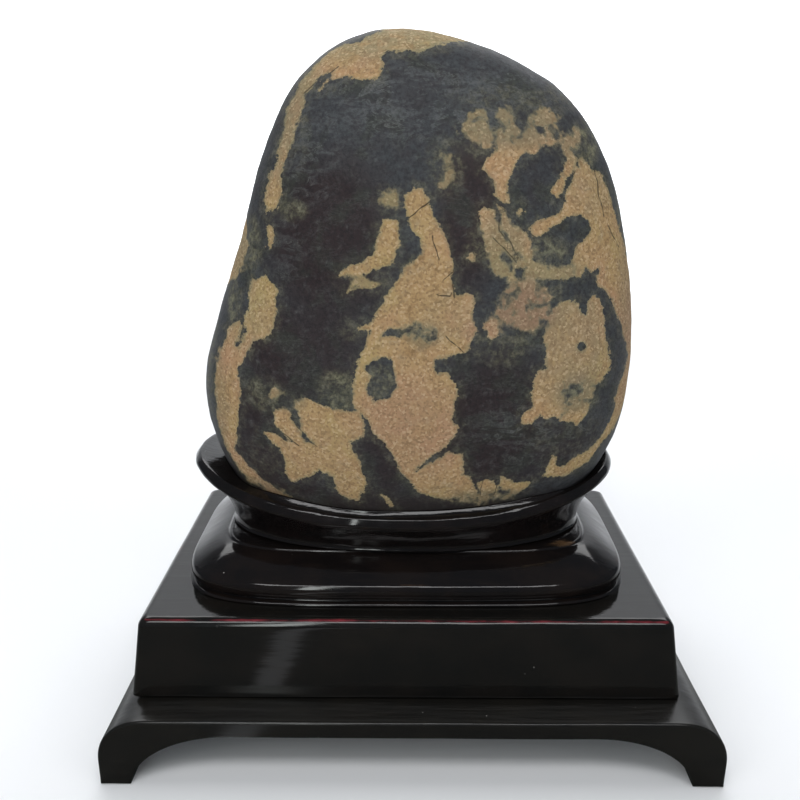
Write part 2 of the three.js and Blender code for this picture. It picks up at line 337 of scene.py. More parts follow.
facePatches = [
    # buff or dark, then the outline; later ones lie over earlier ones
    ("buff", [(26, 286), (10, 297), (-8, 297), (-12, 288), (-22, 284.5), (-31, 281.5), (-38, 275.5),
              (-45, 267), (-48.6, 259.5), (-50, 251), (-52.8, 243), (-56, 234), (-58, 226), (-57, 220.5),
              (-52.5, 223.5), (-50, 230), (-51, 236), (-48.5, 242), (-46, 249), (-43, 256),
              (-40.5, 264), (-34, 267), (-30, 270), (-25, 271.3), (-19, 269.5), (-13.5, 270.3),
              (-11.5, 273), (-11.8, 278), (-9, 280), (4, 280), (8, 282), (16, 283.5)]),
    ("dark", [(-41.5, 264.5), (-36.5, 270), (-29.5, 273.8), (-34.5, 268.6), (-39, 263.5)]),
    ("buff", [(-69, 222), (-66.8, 217), (-66, 206), (-68, 199.5), (-72, 195.5), (-78, 190.5),
              (-88, 187), (-86, 200), (-76, 214)]),
    ("buff", [(-57, 215.8), (-54.4, 217), (-53.3, 213), (-55, 208.5), (-57.2, 208.5), (-56, 212)]),
    ("buff", [(-58, 198.3), (-54.5, 196), (-52, 192.5), (-52.8, 186), (-54, 180), (-56, 175.5),
              (-59, 173.5), (-63, 173), (-65, 168.5), (-67, 164), (-70, 160.5), (-69, 154),
              (-69.5, 147), (-71, 140), (-72, 132), (-74.5, 125), (-70, 121), (-64, 115.5),
              (-57, 110.5), (-50, 106.5), (-42, 102.5), (-52, 104), (-61, 106.5), (-70, 111.5),
              (-77, 119.5), (-80.5, 129), (-82, 142), (-81.5, 155), (-79, 166), (-76, 171),
              (-74.5, 175), (-72, 178.5), (-69, 179.5), (-67.5, 177.5), (-66.5, 184),
              (-65.5, 190), (-62.5, 196)]),
    ("dark", [(-67.3, 179), (-70.2, 172), (-71, 169.5), (-68.6, 170.5), (-66.3, 176)]),
    ("buff", [(-11.5, 221), (-6, 220), (-4.5, 214), (-6, 209), (-8, 204), (-12, 202.5), (-16, 201),
              (-19, 200), (-24, 199.5), (-28.5, 198.5), (-27, 201.5), (-23, 203.5), (-19, 204.5),
              (-15, 208), (-13.5, 211), (-12.5, 215)]),
    ("buff", [(-11, 230), (-7, 229.6), (-6, 226), (-8, 223.8), (-11.5, 226)]),
    ("buff", [(-25, 193.5), (-23, 197.5), (-19, 198.7), (-15, 198.2), (-12.6, 196.5),
              (-15.5, 194.6), (-20, 196)]),
    ("buff", [(-3, 229), (0, 231.5), (3.3, 231), (5, 228), (6, 226), (8, 223.5), (8.8, 219),
              (11.5, 215), (13, 211), (14.5, 207), (15, 202), (14.5, 198.5), (15, 193.5),
              (20, 193.6), (22.3, 193), (23, 189), (23, 185), (24, 180), (22, 175), (20, 171.7),
              (16, 170.3), (11.5, 169.6), (8.6, 168.3), (7.8, 165.6), (9.5, 163.4), (13, 164.5),
              (15, 161.5), (17.2, 158.8), (17, 154.5), (16, 149.5), (15.5, 145), (16.2, 143),
              (17.8, 142), (17.5, 139), (15, 136), (13, 133.2), (15.4, 131), (19.3, 130.2),
              (20, 126), (20.5, 121), (23.7, 118.5), (24.6, 116), (27.2, 112.5), (26, 110),
              (20, 109), (13, 109.3), (7, 110.3), (2.5, 112.5), (0, 116), (-3, 120), (-6, 124.5),
              (-8, 129), (-11, 134), (-15, 139.5), (-18, 144.5), (-20.3, 147), (-23.4, 151.5),
              (-23, 157), (-22, 162), (-21, 168), (-19, 172), (-18, 176), (-16.2, 179),
              (-20.8, 180), (-16, 182.3), (-14, 186), (-11, 190), (-9, 194), (-6, 198.5),
              (-4, 201), (-1, 204), (1.2, 206.4), (3.4, 208.5), (3, 212.3), (0.8, 215), (-1.5, 217),
              (-2.4, 221), (-3.4, 225)]),
    ("dark", [(-12, 176.8), (-9.7, 180), (-5.4, 180.6), (-1.9, 181.7), (1, 182.4), (3.4, 180.6),
              (6.6, 180.4), (8.4, 176.8), (6, 175), (3.4, 176.8), (0, 177.8), (-3.6, 177.4),
              (-5.4, 176.8), (-7.8, 177.7)]),
    ("dark", [(-18, 165.5), (-15, 168), (-11, 169), (-8, 167.8), (-7, 162.5), (-6.2, 158),
              (-9.5, 154), (-15, 151.6), (-17.6, 156.5), (-16.4, 161)]),
    ("dark", [(1.2, 122.6), (4.4, 126.2), (8.6, 129.6), (12.4, 132.6), (15.8, 133.4),
              (12.8, 129.6), (8.6, 127), (5.2, 124.8)]),
    ("buff", [(-46.5, 150.5), (-41, 152.3), (-36, 150.5), (-31, 148.5), (-26, 148), (-20.5, 148),
              (-18.2, 143.5), (-18.8, 138), (-24, 135.3), (-23, 131), (-20.5, 126.5), (-19, 121),
              (-17.8, 116.5), (-20, 112.5), (-21.5, 108), (-25.5, 109.5), (-30, 111.5),
              (-31.2, 115), (-31.5, 120), (-37, 120.8), (-44, 117), (-49.5, 114.2),
              (-52.5, 118.5), (-51, 124.5), (-54, 130.5), (-59, 134), (-60.8, 136.5), (-57, 137.4),
              (-50.5, 134.3), (-52, 137.5), (-55.3, 140.5), (-55, 145), (-51.5, 148),
              (-48.5, 147), (-46.8, 142), (-45, 147)]),
    ("dark", [(-48.4, 148.6), (-45.5, 146.6), (-43.6, 143.6), (-43.5, 138.7), (-41.6, 135.9),
              (-38.6, 133.8), (-42.5, 134.6), (-45, 138.4), (-47, 142.6)]),
    ("dark", [(-57, 139), (-53.5, 138.4), (-50.9, 136.6), (-47.4, 133.6), (-51.3, 134), (-54.6, 136.4)]),
    ("buff", [(-56.2, 153.5), (-54.5, 155), (-52.5, 153.4), (-53.5, 151), (-55.5, 151.4)]),
    ("buff", [(-12, 111.5), (-9, 109.8), (-7, 105.5), (-8.5, 104.2), (-10.7, 106.5)]),
    ("buff", [(26, 116.7), (29.5, 118.2), (33, 117.5), (35.4, 115), (34.4, 112), (30, 110.3),
              (27, 111)]),
    ("buff", [(36, 119.2), (38, 117.5), (42, 116.2), (48, 115.3), (47.2, 112.3), (43, 110.3),
              (37, 111.8), (35.4, 115)]),
    ("buff", [(13, 110.4), (20, 108), (27, 106), (33, 107.8), (40.5, 108.4), (35, 111), (27, 111)]),
    ("buff", [(19, 255), (22, 258), (26, 257), (29, 253), (30.5, 249), (28, 246.3), (24, 247),
              (20, 249), (18, 252)]),
    ("buff", [(31, 258.3), (36, 259.3), (38.5, 256), (36, 253), (32.5, 254)]),
    ("buff", [(44, 255), (47, 259), (51, 259.5), (54.5, 256.3), (53, 252.5), (48, 253)]),
    ("buff", [(25.3, 238), (27, 242), (30.2, 244.5), (31, 249.8), (36, 252.3), (43, 250.8),
              (47, 251.2), (52, 250.3), (53.3, 247.5), (49, 245.8), (45, 243.6), (42, 244.5),
              (40, 242), (37.5, 239), (36, 236), (34.7, 232), (35, 229), (36.2, 225.5),
              (33, 226), (30, 228.6), (31, 231.5), (29.7, 235)]),
    ("buff", [(38.3, 222.6), (39.7, 224.8), (41.4, 222.8), (40, 221.4)]),
    ("buff", [(20.2, 206.4), (21.6, 208.2), (23.4, 207.4), (22.6, 205.6)]),
    ("buff", [(10, 233), (11, 238), (12, 243), (14.2, 243), (14.8, 238), (13, 233.5), (11.5, 232)]),
    ("buff", [(56.4, 251), (62, 250.6), (62.4, 246), (61.9, 242.2), (59.4, 241.4), (57.6, 244.5)]),
    ("buff", [(59.6, 241.3), (57.2, 239.4), (54.9, 234.2), (51.2, 229.9), (53.9, 227.1),
              (56.6, 230.3), (58.5, 233.1), (60.6, 236), (62.7, 237.4), (61.6, 240.4)]),
    ("buff", [(61, 241.5), (64, 242.3), (67, 240.5), (69.5, 237.5), (73.5, 235.5), (75.5, 231.5),
              (78, 227.5), (80.5, 222), (83, 216), (85.5, 209), (89, 203), (95, 196), (99, 182),
              (99, 165), (98, 152), (94, 143), (89, 136), (83, 130), (79, 126), (75, 121.5),
              (70, 118.5), (64, 116.5), (58, 115.5), (53, 116.5), (54.5, 121), (56.3, 126.6),
              (58.5, 126), (59.5, 122), (61, 120.7), (65, 123.5), (69, 125.5), (73, 126),
              (76, 128.5), (79, 132.5), (82, 137), (84, 142), (83.5, 147), (85, 152), (88, 157),
              (89.3, 163), (88, 169), (85, 175.5), (82, 181.5), (79.5, 186.5), (77.5, 190),
              (74.5, 192.5), (71.6, 195.6), (72.6, 201), (69.5, 199.5), (66.5, 201.6),
              (64.5, 197.8), (62, 199), (61.5, 202), (60, 204.5), (61.5, 207.5), (62.5, 210.5),
              (66, 212.5), (68.2, 216), (66.5, 219.5), (62, 221), (57, 219.8), (52, 217),
              (47.5, 213.9), (44.5, 214.5), (43, 217.2), (46.5, 219.2), (51, 220.8), (55.5, 222.5),
              (57, 226), (57.8, 229.5), (60.6, 234), (62, 238)]),
    ("dark", [(61.2, 242.8), (62, 239), (63.2, 237.6), (62.9, 240), (62.4, 242.6)]),
    ("dark", [(61.2, 236.8), (58.2, 233.4), (56, 229.4), (56.8, 228.4), (59.6, 232.4), (61.4, 235.6)]),
    ("buff", [(24.2, 223.4), (26.7, 224.6), (30.4, 223.8), (31.6, 220), (32.2, 216.4), (35.6, 212),
              (37.4, 207.6), (38.6, 203.6), (38, 200.4), (38.4, 197.2), (35, 198.6),
              (31.5, 200.8), (28.4, 205.2), (27, 209.5), (26.2, 214.3), (24.5, 219.1)]),
    ("buff", [(30.1, 226.6), (32.1, 225.4), (34.7, 222.3), (37.8, 217), (41.9, 215.3),
              (44.5, 211.7), (46.3, 206), (43.1, 204.6), (39.4, 208), (35.8, 213.4),
              (33.2, 218.4), (31.9, 223.2)]),
    ("buff", [(38.4, 206.6), (42, 205), (46.1, 205.6), (49.9, 203.3), (55.7, 202.4), (60, 203),
              (61, 199), (55.8, 197.4), (48.4, 198), (42.4, 199.8), (42.4, 202.5), (39.6, 204)]),
    ("dark", [(33.4, 209.8), (36, 206.6), (37.2, 203.2), (36.4, 201.9), (34.9, 203.2), (33.2, 206.9)]),
    ("buff", [(50, 176.5), (51.5, 181), (53, 186), (56, 190), (60, 190), (64, 188), (65.6, 184.3),
              (67, 184), (68.5, 189), (70.5, 191.5), (73, 189.5), (75.5, 185), (76.5, 179),
              (77, 172), (79.2, 166), (80.2, 161), (78.5, 158.3), (75.5, 156), (72, 153.5),
              (70, 148), (70, 143), (66, 138.8), (63, 141), (58, 142.3), (56, 144.7), (53, 143.4),
              (50, 144.7), (47, 141.6), (43, 142.3), (41.5, 144.5), (44, 147.5), (47, 148.7),
              (46.5, 154), (47, 160), (48.5, 163.5), (52.2, 163.7), (51, 168), (51.5, 172)]),
    ("dark", [(57.2, 142.6), (59, 145.6), (61.6, 149), (60.6, 145.6), (58.8, 142.4)]),
    ("dark", [(64.6, 172.4), (66.6, 173), (67.8, 171), (66.2, 169.6), (64.8, 170.2)]),
    ("dark", [(61.5, 157), (65.5, 158), (68, 154.5), (66, 151.5), (62, 152)]),
    ("buff", [(26, 182), (29.5, 185), (34, 183), (33, 177.5), (29, 176)]),
    ("buff", [(33, 190), (36, 195), (40, 197.5), (46, 197), (51, 195.5), (54, 192), (52, 187),
              (50, 182), (46, 178), (42, 180), (37, 181.5), (33, 184), (31, 187)]),
]

# Buff patches on the sides and the back: islands and inlets of a bent noise field, with thin veins.
backMarking = {
    "size": (44, 44, 58),  # mm, a patch along X, Y and Z
    "bends": ((0.8, 0.75), (2.7, 0.3)),  # how fine and how strong each bending of the field is
    "fractal": (0.8, 2.2, 3),  # its roughness, the step between its octaves and their count
    "share": 0.36,  # of the surface that is buff
    "perUnit": 34,  # mm of distance for one unit of noise
    "veinScale": 0.7,
    "veinShift": (9.1, 3.3, 5.7),
    "veinWidth": 1.76,  # mm
    "veinPerUnit": 42,  # mm of distance for one unit of noise
    "veinBreaks": (1.3, (-0.05, 0.25)),  # how often veins break off, and the noise values where they do
    "seed": (4.3, 1.7, 8.2),
}

# Soft spots: X, Z, half width, half height, strength. "mottled" breaks up a patch and its edge. On
# the dark rock "haze" lays an olive-grey bloom, "warm" turns it brown-black and the bluish spots cloud
# it with scuffing and, near the top, with a painted sheen of light from above. On the buff "rosy" and
# "greyed" change its tone.
softSpots = {
    "mottled": [
        (36, 254, 24, 9, 1.0), (61, 248, 8, 7, 0.8), (12, 238, 5, 8, 0.9), (33, 208, 9, 15, 0.5),
        (50, 201, 13, 5, 0.45), (42, 188, 14, 11, 1.0), (65, 153, 9, 8, 0.9), (4, 178, 7, 5, 0.7),
        (-9, 227, 5, 5, 0.8), (-69, 204, 9, 10, 0.7), (-80, 150, 4, 30, 0.4), (88, 190, 6, 26, 0.4),
        (-20, 197, 9, 3, 0.6), (30, 108, 16, 5, 0.8), (-60, 108, 18, 6, 0.5), (-50, 151, 8, 5, 0.7),
        (-48, 262, 8, 16, 0.35), (50, 208, 7, 5, 0.8),
    ],
    "haze": [
        (40, 263, 26, 6, 0.45), (-28, 155, 9, 9, 1.0), (-58, 152, 9, 7, 0.7), (-46, 223, 6, 4, 0.8),
        (-64, 208, 5, 12, 0.9), (-72, 184, 4, 10, 0.9), (-88, 170, 7, 40, 0.6), (66, 246, 7, 9, 1.0),
        (34, 174, 12, 8, 0.7), (50, 192, 9, 7, 0.7), (66, 150, 9, 8, 0.9), (12, 239, 7, 11, 0.6),
        (-10, 213, 5, 12, 0.6), (-58, 126, 10, 10, 0.3), (30, 215, 9, 12, 0.7), (50, 208, 9, 6, 0.9),
        (22, 208, 4, 4, 0.6), (-22, 180, 6, 5, 0.5), (86, 214, 6, 26, 0.7), (-36, 270, 12, 6, 0.5),
        (64, 135, 18, 10, 0.25), (3, 179, 8, 5, 1.0), (-44, 254, 5, 16, 0.4), (30, 247, 12, 8, 0.5),
        (-8, 196, 6, 4, 0.5), (-12, 160, 7, 8, 0.75),
    ],
    "warm": [
        (-32, 210, 26, 34, 1.0), (-42, 172, 26, 22, 0.9), (21, 222, 12, 28, 1.0), (30, 142, 26, 30, 0.95),
        (-14, 124, 14, 20, 0.9), (46, 128, 34, 14, 0.8), (-10, 100, 70, 14, 0.95), (-52, 112, 20, 16, 0.9),
        (-62, 132, 16, 26, 0.9),
    ],
    # bluish scuffing; the strong spots near the top are a painted sheen of light from above
    "scuffAndSheen": [
        (4, 262, 38, 13, 0.9), (-38, 246, 12, 20, 0.7), (46, 268, 22, 10, 0.6), (-66, 130, 10, 14, 0.25),
        (-50, 208, 8, 12, 0.5), (42, 138, 18, 12, 0.5), (-46, 110, 16, 10, 0.25), (70, 132, 10, 12, 0.5),
    ],
    "rosy": [
        (43, 188, 13, 10, 1.0), (27, 180, 8, 6, 0.7), (-2, 140, 26, 24, 0.5), (62, 170, 12, 20, 0.35),
        (-36, 128, 18, 18, 0.3), (90, 160, 10, 40, 0.4),
    ],
    "greyed": [
        (-8, 288, 46, 12, 0.9), (-48, 258, 16, 30, 0.8), (62, 172, 16, 24, 0.7), (52, 202, 14, 8, 0.6),
        (-66, 180, 12, 16, 0.4), (34, 212, 10, 16, 0.5), (14, 184, 12, 10, 0.3), (70, 232, 12, 12, 0.4),
    ],
}
spotEdge = (1.35, 0.55)  # of a spot's half size, where it begins and where it is full

# Hairline cracks across the face, as open lines of X and Z in millimetres.
faceCracks = [
    [(6.6, 227.4), (1, 222.9), (-4, 219)], [(7.4, 213.7), (8.1, 210.4), (9.3, 207)],
    [(15.2, 201.4), (12, 199.2)], [(9.6, 193), (13.6, 192.4)],
    [(15.3, 204), (15.2, 193)], [(-46.5, 142), (-42, 136), (-38, 133)], [(28.5, 117), (28, 111)],
    [(34.6, 116), (33.6, 111)], [(70.3, 237.2), (72, 228.9), (74.4, 221)], [(77, 215.6), (82.4, 208.6)],
    [(60.9, 236.4), (58.8, 233.1), (56, 228.6)], [(29.4, 227.4), (37.7, 220.4), (45.4, 213.6)],
    [(31.7, 222.8), (32.2, 216), (35.8, 212.3), (38.9, 207)], [(30.6, 213), (34.3, 209.5), (37.9, 205.6)],
    [(54, 197.6), (60, 197), (66, 191)], [(13.4, 132.4), (16.2, 134)], [(-52, 137), (-46, 133)],
    [(-68.6, 173.4), (-67.6, 178), (-68.4, 181)], [(-41, 266), (-29, 274.4)], [(19, 171.6), (13, 177)],
]


# Signed distance to an outline, in the outline's units, above 0 inside.
def insideDistance(points, outline):
    corners = np.asarray(outline, float)
    nearest = np.full(len(points), 1e9)
    inside = np.zeros(len(points), bool)
    for a, b in zip(corners, np.roll(corners, -1, axis=0)):
        nearest = np.minimum(nearest, lineDistance(points, a, b))
        crosses = (a[1] > points[:, 1]) != (b[1] > points[:, 1])
        height = b[1] - a[1] if abs(b[1] - a[1]) > 1e-9 else 1e-9
        inside ^= crosses & (points[:, 0] < a[0] + (points[:, 1] - a[1]) * (b[0] - a[0]) / height)
    return np.where(inside, nearest, -nearest)


def lineDistance(points, a, b):
    a, b = np.asarray(a, float), np.asarray(b, float)
    along = b - a
    share = np.clip((points - a) @ along / (along @ along), 0, 1)
    return np.linalg.norm(points - a - share[:, None] * along, axis=1)


# Signed distance to the nearest of some open lines, told apart by side, and the plain distance.
def crackDistance(points, lines):
    signed = np.full(len(points), float(crackReach))
    nearest = signed.copy()
    for line in lines:
        for a, b in zip(line, line[1:]):
            distance = lineDistance(points, a, b)
            across = np.array([a[1] - b[1], b[0] - a[0]]) / math.dist(a, b)
            closer = distance < nearest
            nearest = np.where(closer, distance, nearest)
            signed = np.where(closer, (points - a) @ across, signed)
    return signed, nearest


# Places shifted a little, so that drawn lines wander as natural ones do.
def wandered(points, amount, size, seed):
    moved = [drift(Vector((x / size, seed, z / size))) for x, z in points]
    return points + amount * np.array([(m.x, m.z) for m in moved])


# Signed distance to the patches' edges, above 0 in the buff.
def patchDistance(points, patches):
    total = np.full(len(points), float(-patchReach))
    for kind, outline in patches:
        distance = insideDistance(points, outline)
        total = np.maximum(total, distance) if kind == "buff" else np.minimum(total, -distance)
    return np.clip(total, -patchReach, patchReach)


# The same from a noise field, for where no outlines are drawn.
def patchField(points, marking):
    size, seed = np.array(marking["size"]) * mm, Vector(marking["seed"])
    breakScale, breakEdge = marking["veinBreaks"]
    islands, veins, breaks = [], [], []
    for place in points / size:
        bent = Vector(place) + seed
        for scale, strength in marking["bends"]:
            bent += drift(bent * scale) * strength
        islands.append(noise.fractal(bent, *marking["fractal"]))
        veinPlace = bent * marking["veinScale"] + Vector(marking["veinShift"])
        veins.append(abs(noise.noise(veinPlace)))
        breaks.append(noise.noise(veinPlace * breakScale + seed))
    islands, veins, breaks = np.array(islands), np.array(veins), np.array(breaks)
    patch = (islands - np.quantile(islands, 1 - marking["share"])) * marking["perUnit"]
    vein = marking["veinWidth"] * smoothStep(*breakEdge, breaks) - marking["veinPerUnit"] * veins
    return np.clip(np.maximum(patch, vein), -patchReach, patchReach)


def spotStrength(points, spots):
    total = np.zeros(len(points))
    for x, z, halfX, halfZ, strength in spots:
        reach = np.hypot((points[:, 0] - x) / halfX, (points[:, 1] - z) / halfZ)
        total = np.maximum(total, strength * smoothStep(*spotEdge, reach))
    return total


def smoothCadStone():
    source = bpy.data.meshes.new("stoneForm")
    shape = bmesh.new()
    shape.from_mesh(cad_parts["stone"].data)
    bmesh.ops.remove_doubles(shape, verts=shape.verts, dist=0.01 * mm)
    shape.to_mesh(source)
    shape.free()
    holder = bpy.data.objects.new("stoneForm", source)
    bpy.context.scene.collection.objects.link(holder)
    rounding = holder.modifiers.new("rounding", "SUBSURF")
    rounding.levels = 2
    tree = BVHTree.FromObject(holder, bpy.context.evaluated_depsgraph_get())
    bpy.data.objects.remove(holder)
    bpy.data.meshes.remove(source)
    return tree


# A box of squares, numbered so that neighbouring sides share their edge points.
def boxGrid(across, through, up):
    index = {}
    faces = []

    def number(i, j, k):
        return index.setdefault((i, j, k), len(index))

    def side(countA, countB, place, flip):
        for a in range(countA):
            for b in range(countB):
                corners = [place(a, b), place(a + 1, b), place(a + 1, b + 1), place(a, b + 1)]
                face = [number(*corner) for corner in corners]
                faces.append(tuple(reversed(face)) if flip else tuple(face))

    side(across, up, lambda a, b: (a, 0, b), False)
    side(across, up, lambda a, b: (a, through, b), True)
    side(through, up, lambda a, b: (0, a, b), True)
    side(through, up, lambda a, b: (across, a, b), False)
    side(across, through, lambda a, b: (a, b, 0), True)
    side(across, through, lambda a, b: (a, b, up), False)
    shares = np.array(list(index), float) / (across, through, up) * 2 - 1
    return shares, faces


def evenedOut(points, faces, rounds):
    pairs = np.array([(f[i], f[(i + 1) % 4]) for f in faces for i in range(4)])
    for _ in range(rounds):
        total = np.zeros_like(points)
        count = np.zeros(len(points))
        np.add.at(total, pairs[:, 0], points[pairs[:, 1]])
        np.add.at(count, pairs[:, 0], 1)
        points = 0.5 * points + 0.5 * total / count[:, None]
    return points


def outwardNormals(points, faces):
    quads = np.array(faces)
    a, b, c, d = (points[quads[:, i]] for i in range(4))
    normals = np.zeros_like(points)
    facing = np.cross(c - a, d - b)
    for i in range(4):
        np.add.at(normals, quads[:, i], facing)
    return normals / np.linalg.norm(normals, axis=1, keepdims=True)


def buildStone():
    build = stoneBuild
    shares, faces = boxGrid(build["across"], build["through"], build["across"])
    directions = np.tan(shares * math.pi / 4 * build["bulge"])
    directions /= np.linalg.norm(directions, axis=1, keepdims=True)
    low, high = (np.array(corner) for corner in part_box("stone"))
    middle = (low + high) / 2
    form = smoothCadStone()
    points = []
    for direction in directions * (high - low) / 2:
        hit = form.ray_cast(Vector(middle), Vector(direction).normalized())[0]
        points.append(tuple(hit))
    points = evenedOut(np.array(points), faces, build["rounds"])
    normals = outwardNormals(points, faces)
    relief = np.zeros(len(points))
    reliefSeed = Vector(build["reliefSeed"])
    for height, width in build["relief"]:
        swells = [noise.noise(Vector(p) / (width * mm) + reliefSeed) for p in points]
        relief += height * mm * np.array(swells)
    flat = points[:, [0, 2]] / mm
    behind = smoothStep(*build["backBlend"], points[:, 1] / mm)
    patch = (1 - behind) * patchDistance(flat, facePatches) + behind * patchField(points, backMarking)
    crack, crackNear = crackDistance(wandered(flat, *build["crackWander"]), faceCracks)
    crackNear += crackReach * behind
    relief -= build["patchDrop"] * mm * smoothStep(*build["dropEdge"], patch)
    points = points + normals * relief[:, None]
    masks = {"patch": patch, "crack": crack, "crackNear": crackNear}
    for name, spots in softSpots.items():
        masks[name] = (1 - build["backFade"] * behind) * spotStrength(flat, spots)
    return makePiece("viewing_stone", points, faces, masks)


stoneFinish = {
    "coolDark": (0.05, 0.054, 0.059, 1),
    "warmDark": (0.032, 0.023, 0.024, 1),
    "greenDark": (0.040, 0.044, 0.036, 1),
    "pits": (0.016, 0.015, 0.017, 1),
    "scuff": (0.2, 0.205, 0.2, 1),
    # bluish grey for scuffed clouding and for the painted sheen near the top
    "cloudAndSheenColour": (0.128, 0.136, 0.138, 1),
    "rosy": (0.33, 0.205, 0.13, 1),
    "olive": (0.215, 0.205, 0.125, 1),
    "buff": (0.397, 0.264, 0.129, 1),
    "pinkBuff": (0.397, 0.236, 0.133, 1),
    "yellowBuff": (0.372, 0.276, 0.121, 1),
    "greyBuff": (0.307, 0.241, 0.154, 1),
    "oldBuff": (0.245, 0.216, 0.13, 1),
    "stain": (0.20, 0.115, 0.055, 1),
    "darkGrain": (0.17, 0.105, 0.055, 1),
    "paleGrain": (0.666, 0.51, 0.323, 1),
    # painted shade on the stone low down, where it sits in the collar
    "seatShade": (0.022, 0.018, 0.016, 1),
    "crack": (0.03, 0.026, 0.022, 1),
    "seatShadeFrom": (92 * mm, 122 * mm),  # heights where the painted shade is full and where it ends
    "edgeRagged": 2.6,  # mm that a patch's edge wanders
    "edgeFine": 1.2,
    "mottleSpread": 6.5,  # mm, where a patch breaks up
    "mottleFill": 0.5,  # mm that it spreads there
    "mottleDepth": 1.2,  # mm, the most that a patch's inside counts there
    "crackWidth": 0.22,  # mm to each side
    "noises": {  # scale, detail, roughness, distortion
        "slow": (24, 3, 0.55, 0.0),
        "broad": (70, 4, 0.6, 0.4),
        "ragged": (170, 5, 0.68, 0.3),
        "cloud": (210, 2, 0.5, 0.5),
        "clumps": (300, 4, 0.7, 0.2),
        "fine": (700, 3, 0.65, 0.0),
        "grain": (1250, 2, 0.6, 0.0),
    },
    "grainScale": 1150.0,
    "scuffTurn": (0.1, 0.28, 0.2),
    "scuffScale": (95, 120, 260),
    # tones laid over each other: the value that drives one, where it begins and is full, its most
    "darkTones": (("broad", 0.48, 0.66, 0.7, "greenDark"), ("ragged", 0.42, 0.7, 0.4, "warmDark")),
    "darkGrains": (("clumps", 0.5, 0.78, 0.22, "scuff"), ("fine", 0.62, 0.3, 0.55, "pits")),
    "buffTones": (("slow", 0.38, 0.62, 1.0, "pinkBuff"), ("broad", 0.35, 0.68, 1.0, "buff"),
                  ("ragged", 0.5, 0.72, 0.6, "greyBuff")),
    "buffGrains": (("cells", 0.55, 1.0, 0.5, "darkGrain"), ("cells", 0.3, 0.0, 0.34, "paleGrain"),
                   ("fine", 0.52, 0.78, 0.5, "darkGrain"), ("edge", 1.3, 0.1, 0.5, "olive")),
}


def overlaid(tree, values, colour, tones):
    for source, low, high, most, tone in tones:
        share = rampNode(tree, values[source], low, high, 0, most)
        colour = mixColour(tree, share, colour, stoneFinish[tone])
    return colour


def centred(tree, value, amount):
    return mathNode(tree, "MULTIPLY_ADD", value, 2 * amount, -amount)


# The patch's edge wanders, and breaks into soft clumps where it is mottled.
def patchEdge(tree, values):
    finish, patch, mottled = stoneFinish, values["patch"], values["mottled"]
    excess = mathNode(tree, "MAXIMUM", mathNode(tree, "SUBTRACT", patch, finish["mottleDepth"]), 0.0)
    edge = mathNode(tree, "SUBTRACT", patch, mathNode(tree, "MULTIPLY", excess, mottled))
    edge = mathNode(tree, "ADD", edge, centred(tree, values["ragged"], finish["edgeRagged"]))
    edge = mathNode(tree, "ADD", edge, centred(tree, values["fine"], finish["edgeFine"]))
    scattered = centred(tree, values["cloud"], finish["mottleSpread"])
    scattered = mathNode(tree, "ADD", scattered, finish["mottleFill"])
    edge = mathNode(tree, "ADD", edge, mathNode(tree, "MULTIPLY", scattered, mottled))
    width = mathNode(tree, "MULTIPLY_ADD", mottled, 1.5, 0.2)
    mask = rampNode(tree, edge, mathNode(tree, "MULTIPLY", width, -1), width)
    return edge, mathNode(tree, "MULTIPLY", mask, mathNode(tree, "MULTIPLY_ADD", mottled, -0.22, 1.0))


# Blue-black, brown-black and green-black clouds, scuffed and bloomed, with a painted sheen of light from
# above near the top.
def darkRock(tree, place, values):
    finish, clumps, scuffAndSheen = stoneFinish, values["clumps"], values["scuffAndSheen"]
    warmth = mathNode(tree, "ADD", values["warm"], centred(tree, values["slow"], 0.6), clamp=True)
    dark = mixColour(tree, warmth, finish["coolDark"], finish["warmDark"])
    dark = overlaid(tree, values, dark, finish["darkTones"])
    bloom = mathNode(tree, "MAXIMUM", values["haze"], rampNode(tree, values["edge"], -4.5, 0.3, 0, 0.42))
    bloom = mathNode(tree, "MULTIPLY", bloom, rampNode(tree, clumps, 0.36, 0.66, 0.12, 0.95))
    bloom = mathNode(tree, "MULTIPLY", bloom, rampNode(tree, values["ragged"], 0.34, 0.62, 0.3, 1.0))
    dark = mixColour(tree, bloom, dark, finish["olive"])
    turned = addNode(tree, "ShaderNodeMapping", {"Vector": place, "Rotation": finish["scuffTurn"],
                                                 "Scale": finish["scuffScale"]})
    streaks = noiseNode(tree, turned.outputs[0], 1.0, 5, 0.66, 0.9)
    line = mathNode(tree, "ABSOLUTE", mathNode(tree, "SUBTRACT", streaks, 0.52))
    scuff = rampNode(tree, line, 0.03, 0.0, 0, 0.4)
    scuff = mathNode(tree, "MULTIPLY", scuff, rampNode(tree, values["broad"], 0.4, 0.6))
    scuff = mathNode(tree, "MULTIPLY", scuff, mathNode(tree, "MULTIPLY_ADD", scuffAndSheen, 0.7, 0.3))
    dark = mixColour(tree, scuff, dark, finish["scuff"])
    # bluish clouding, near the top a painted sheen of light from above
    cloudingAndSheen = mathNode(tree, "MULTIPLY", scuffAndSheen, rampNode(tree, streaks, 0.44, 0.68, 0, 0.6))
    dark = mixColour(tree, cloudingAndSheen, dark, finish["cloudAndSheenColour"])
    return overlaid(tree, values, dark, finish["darkGrains"])


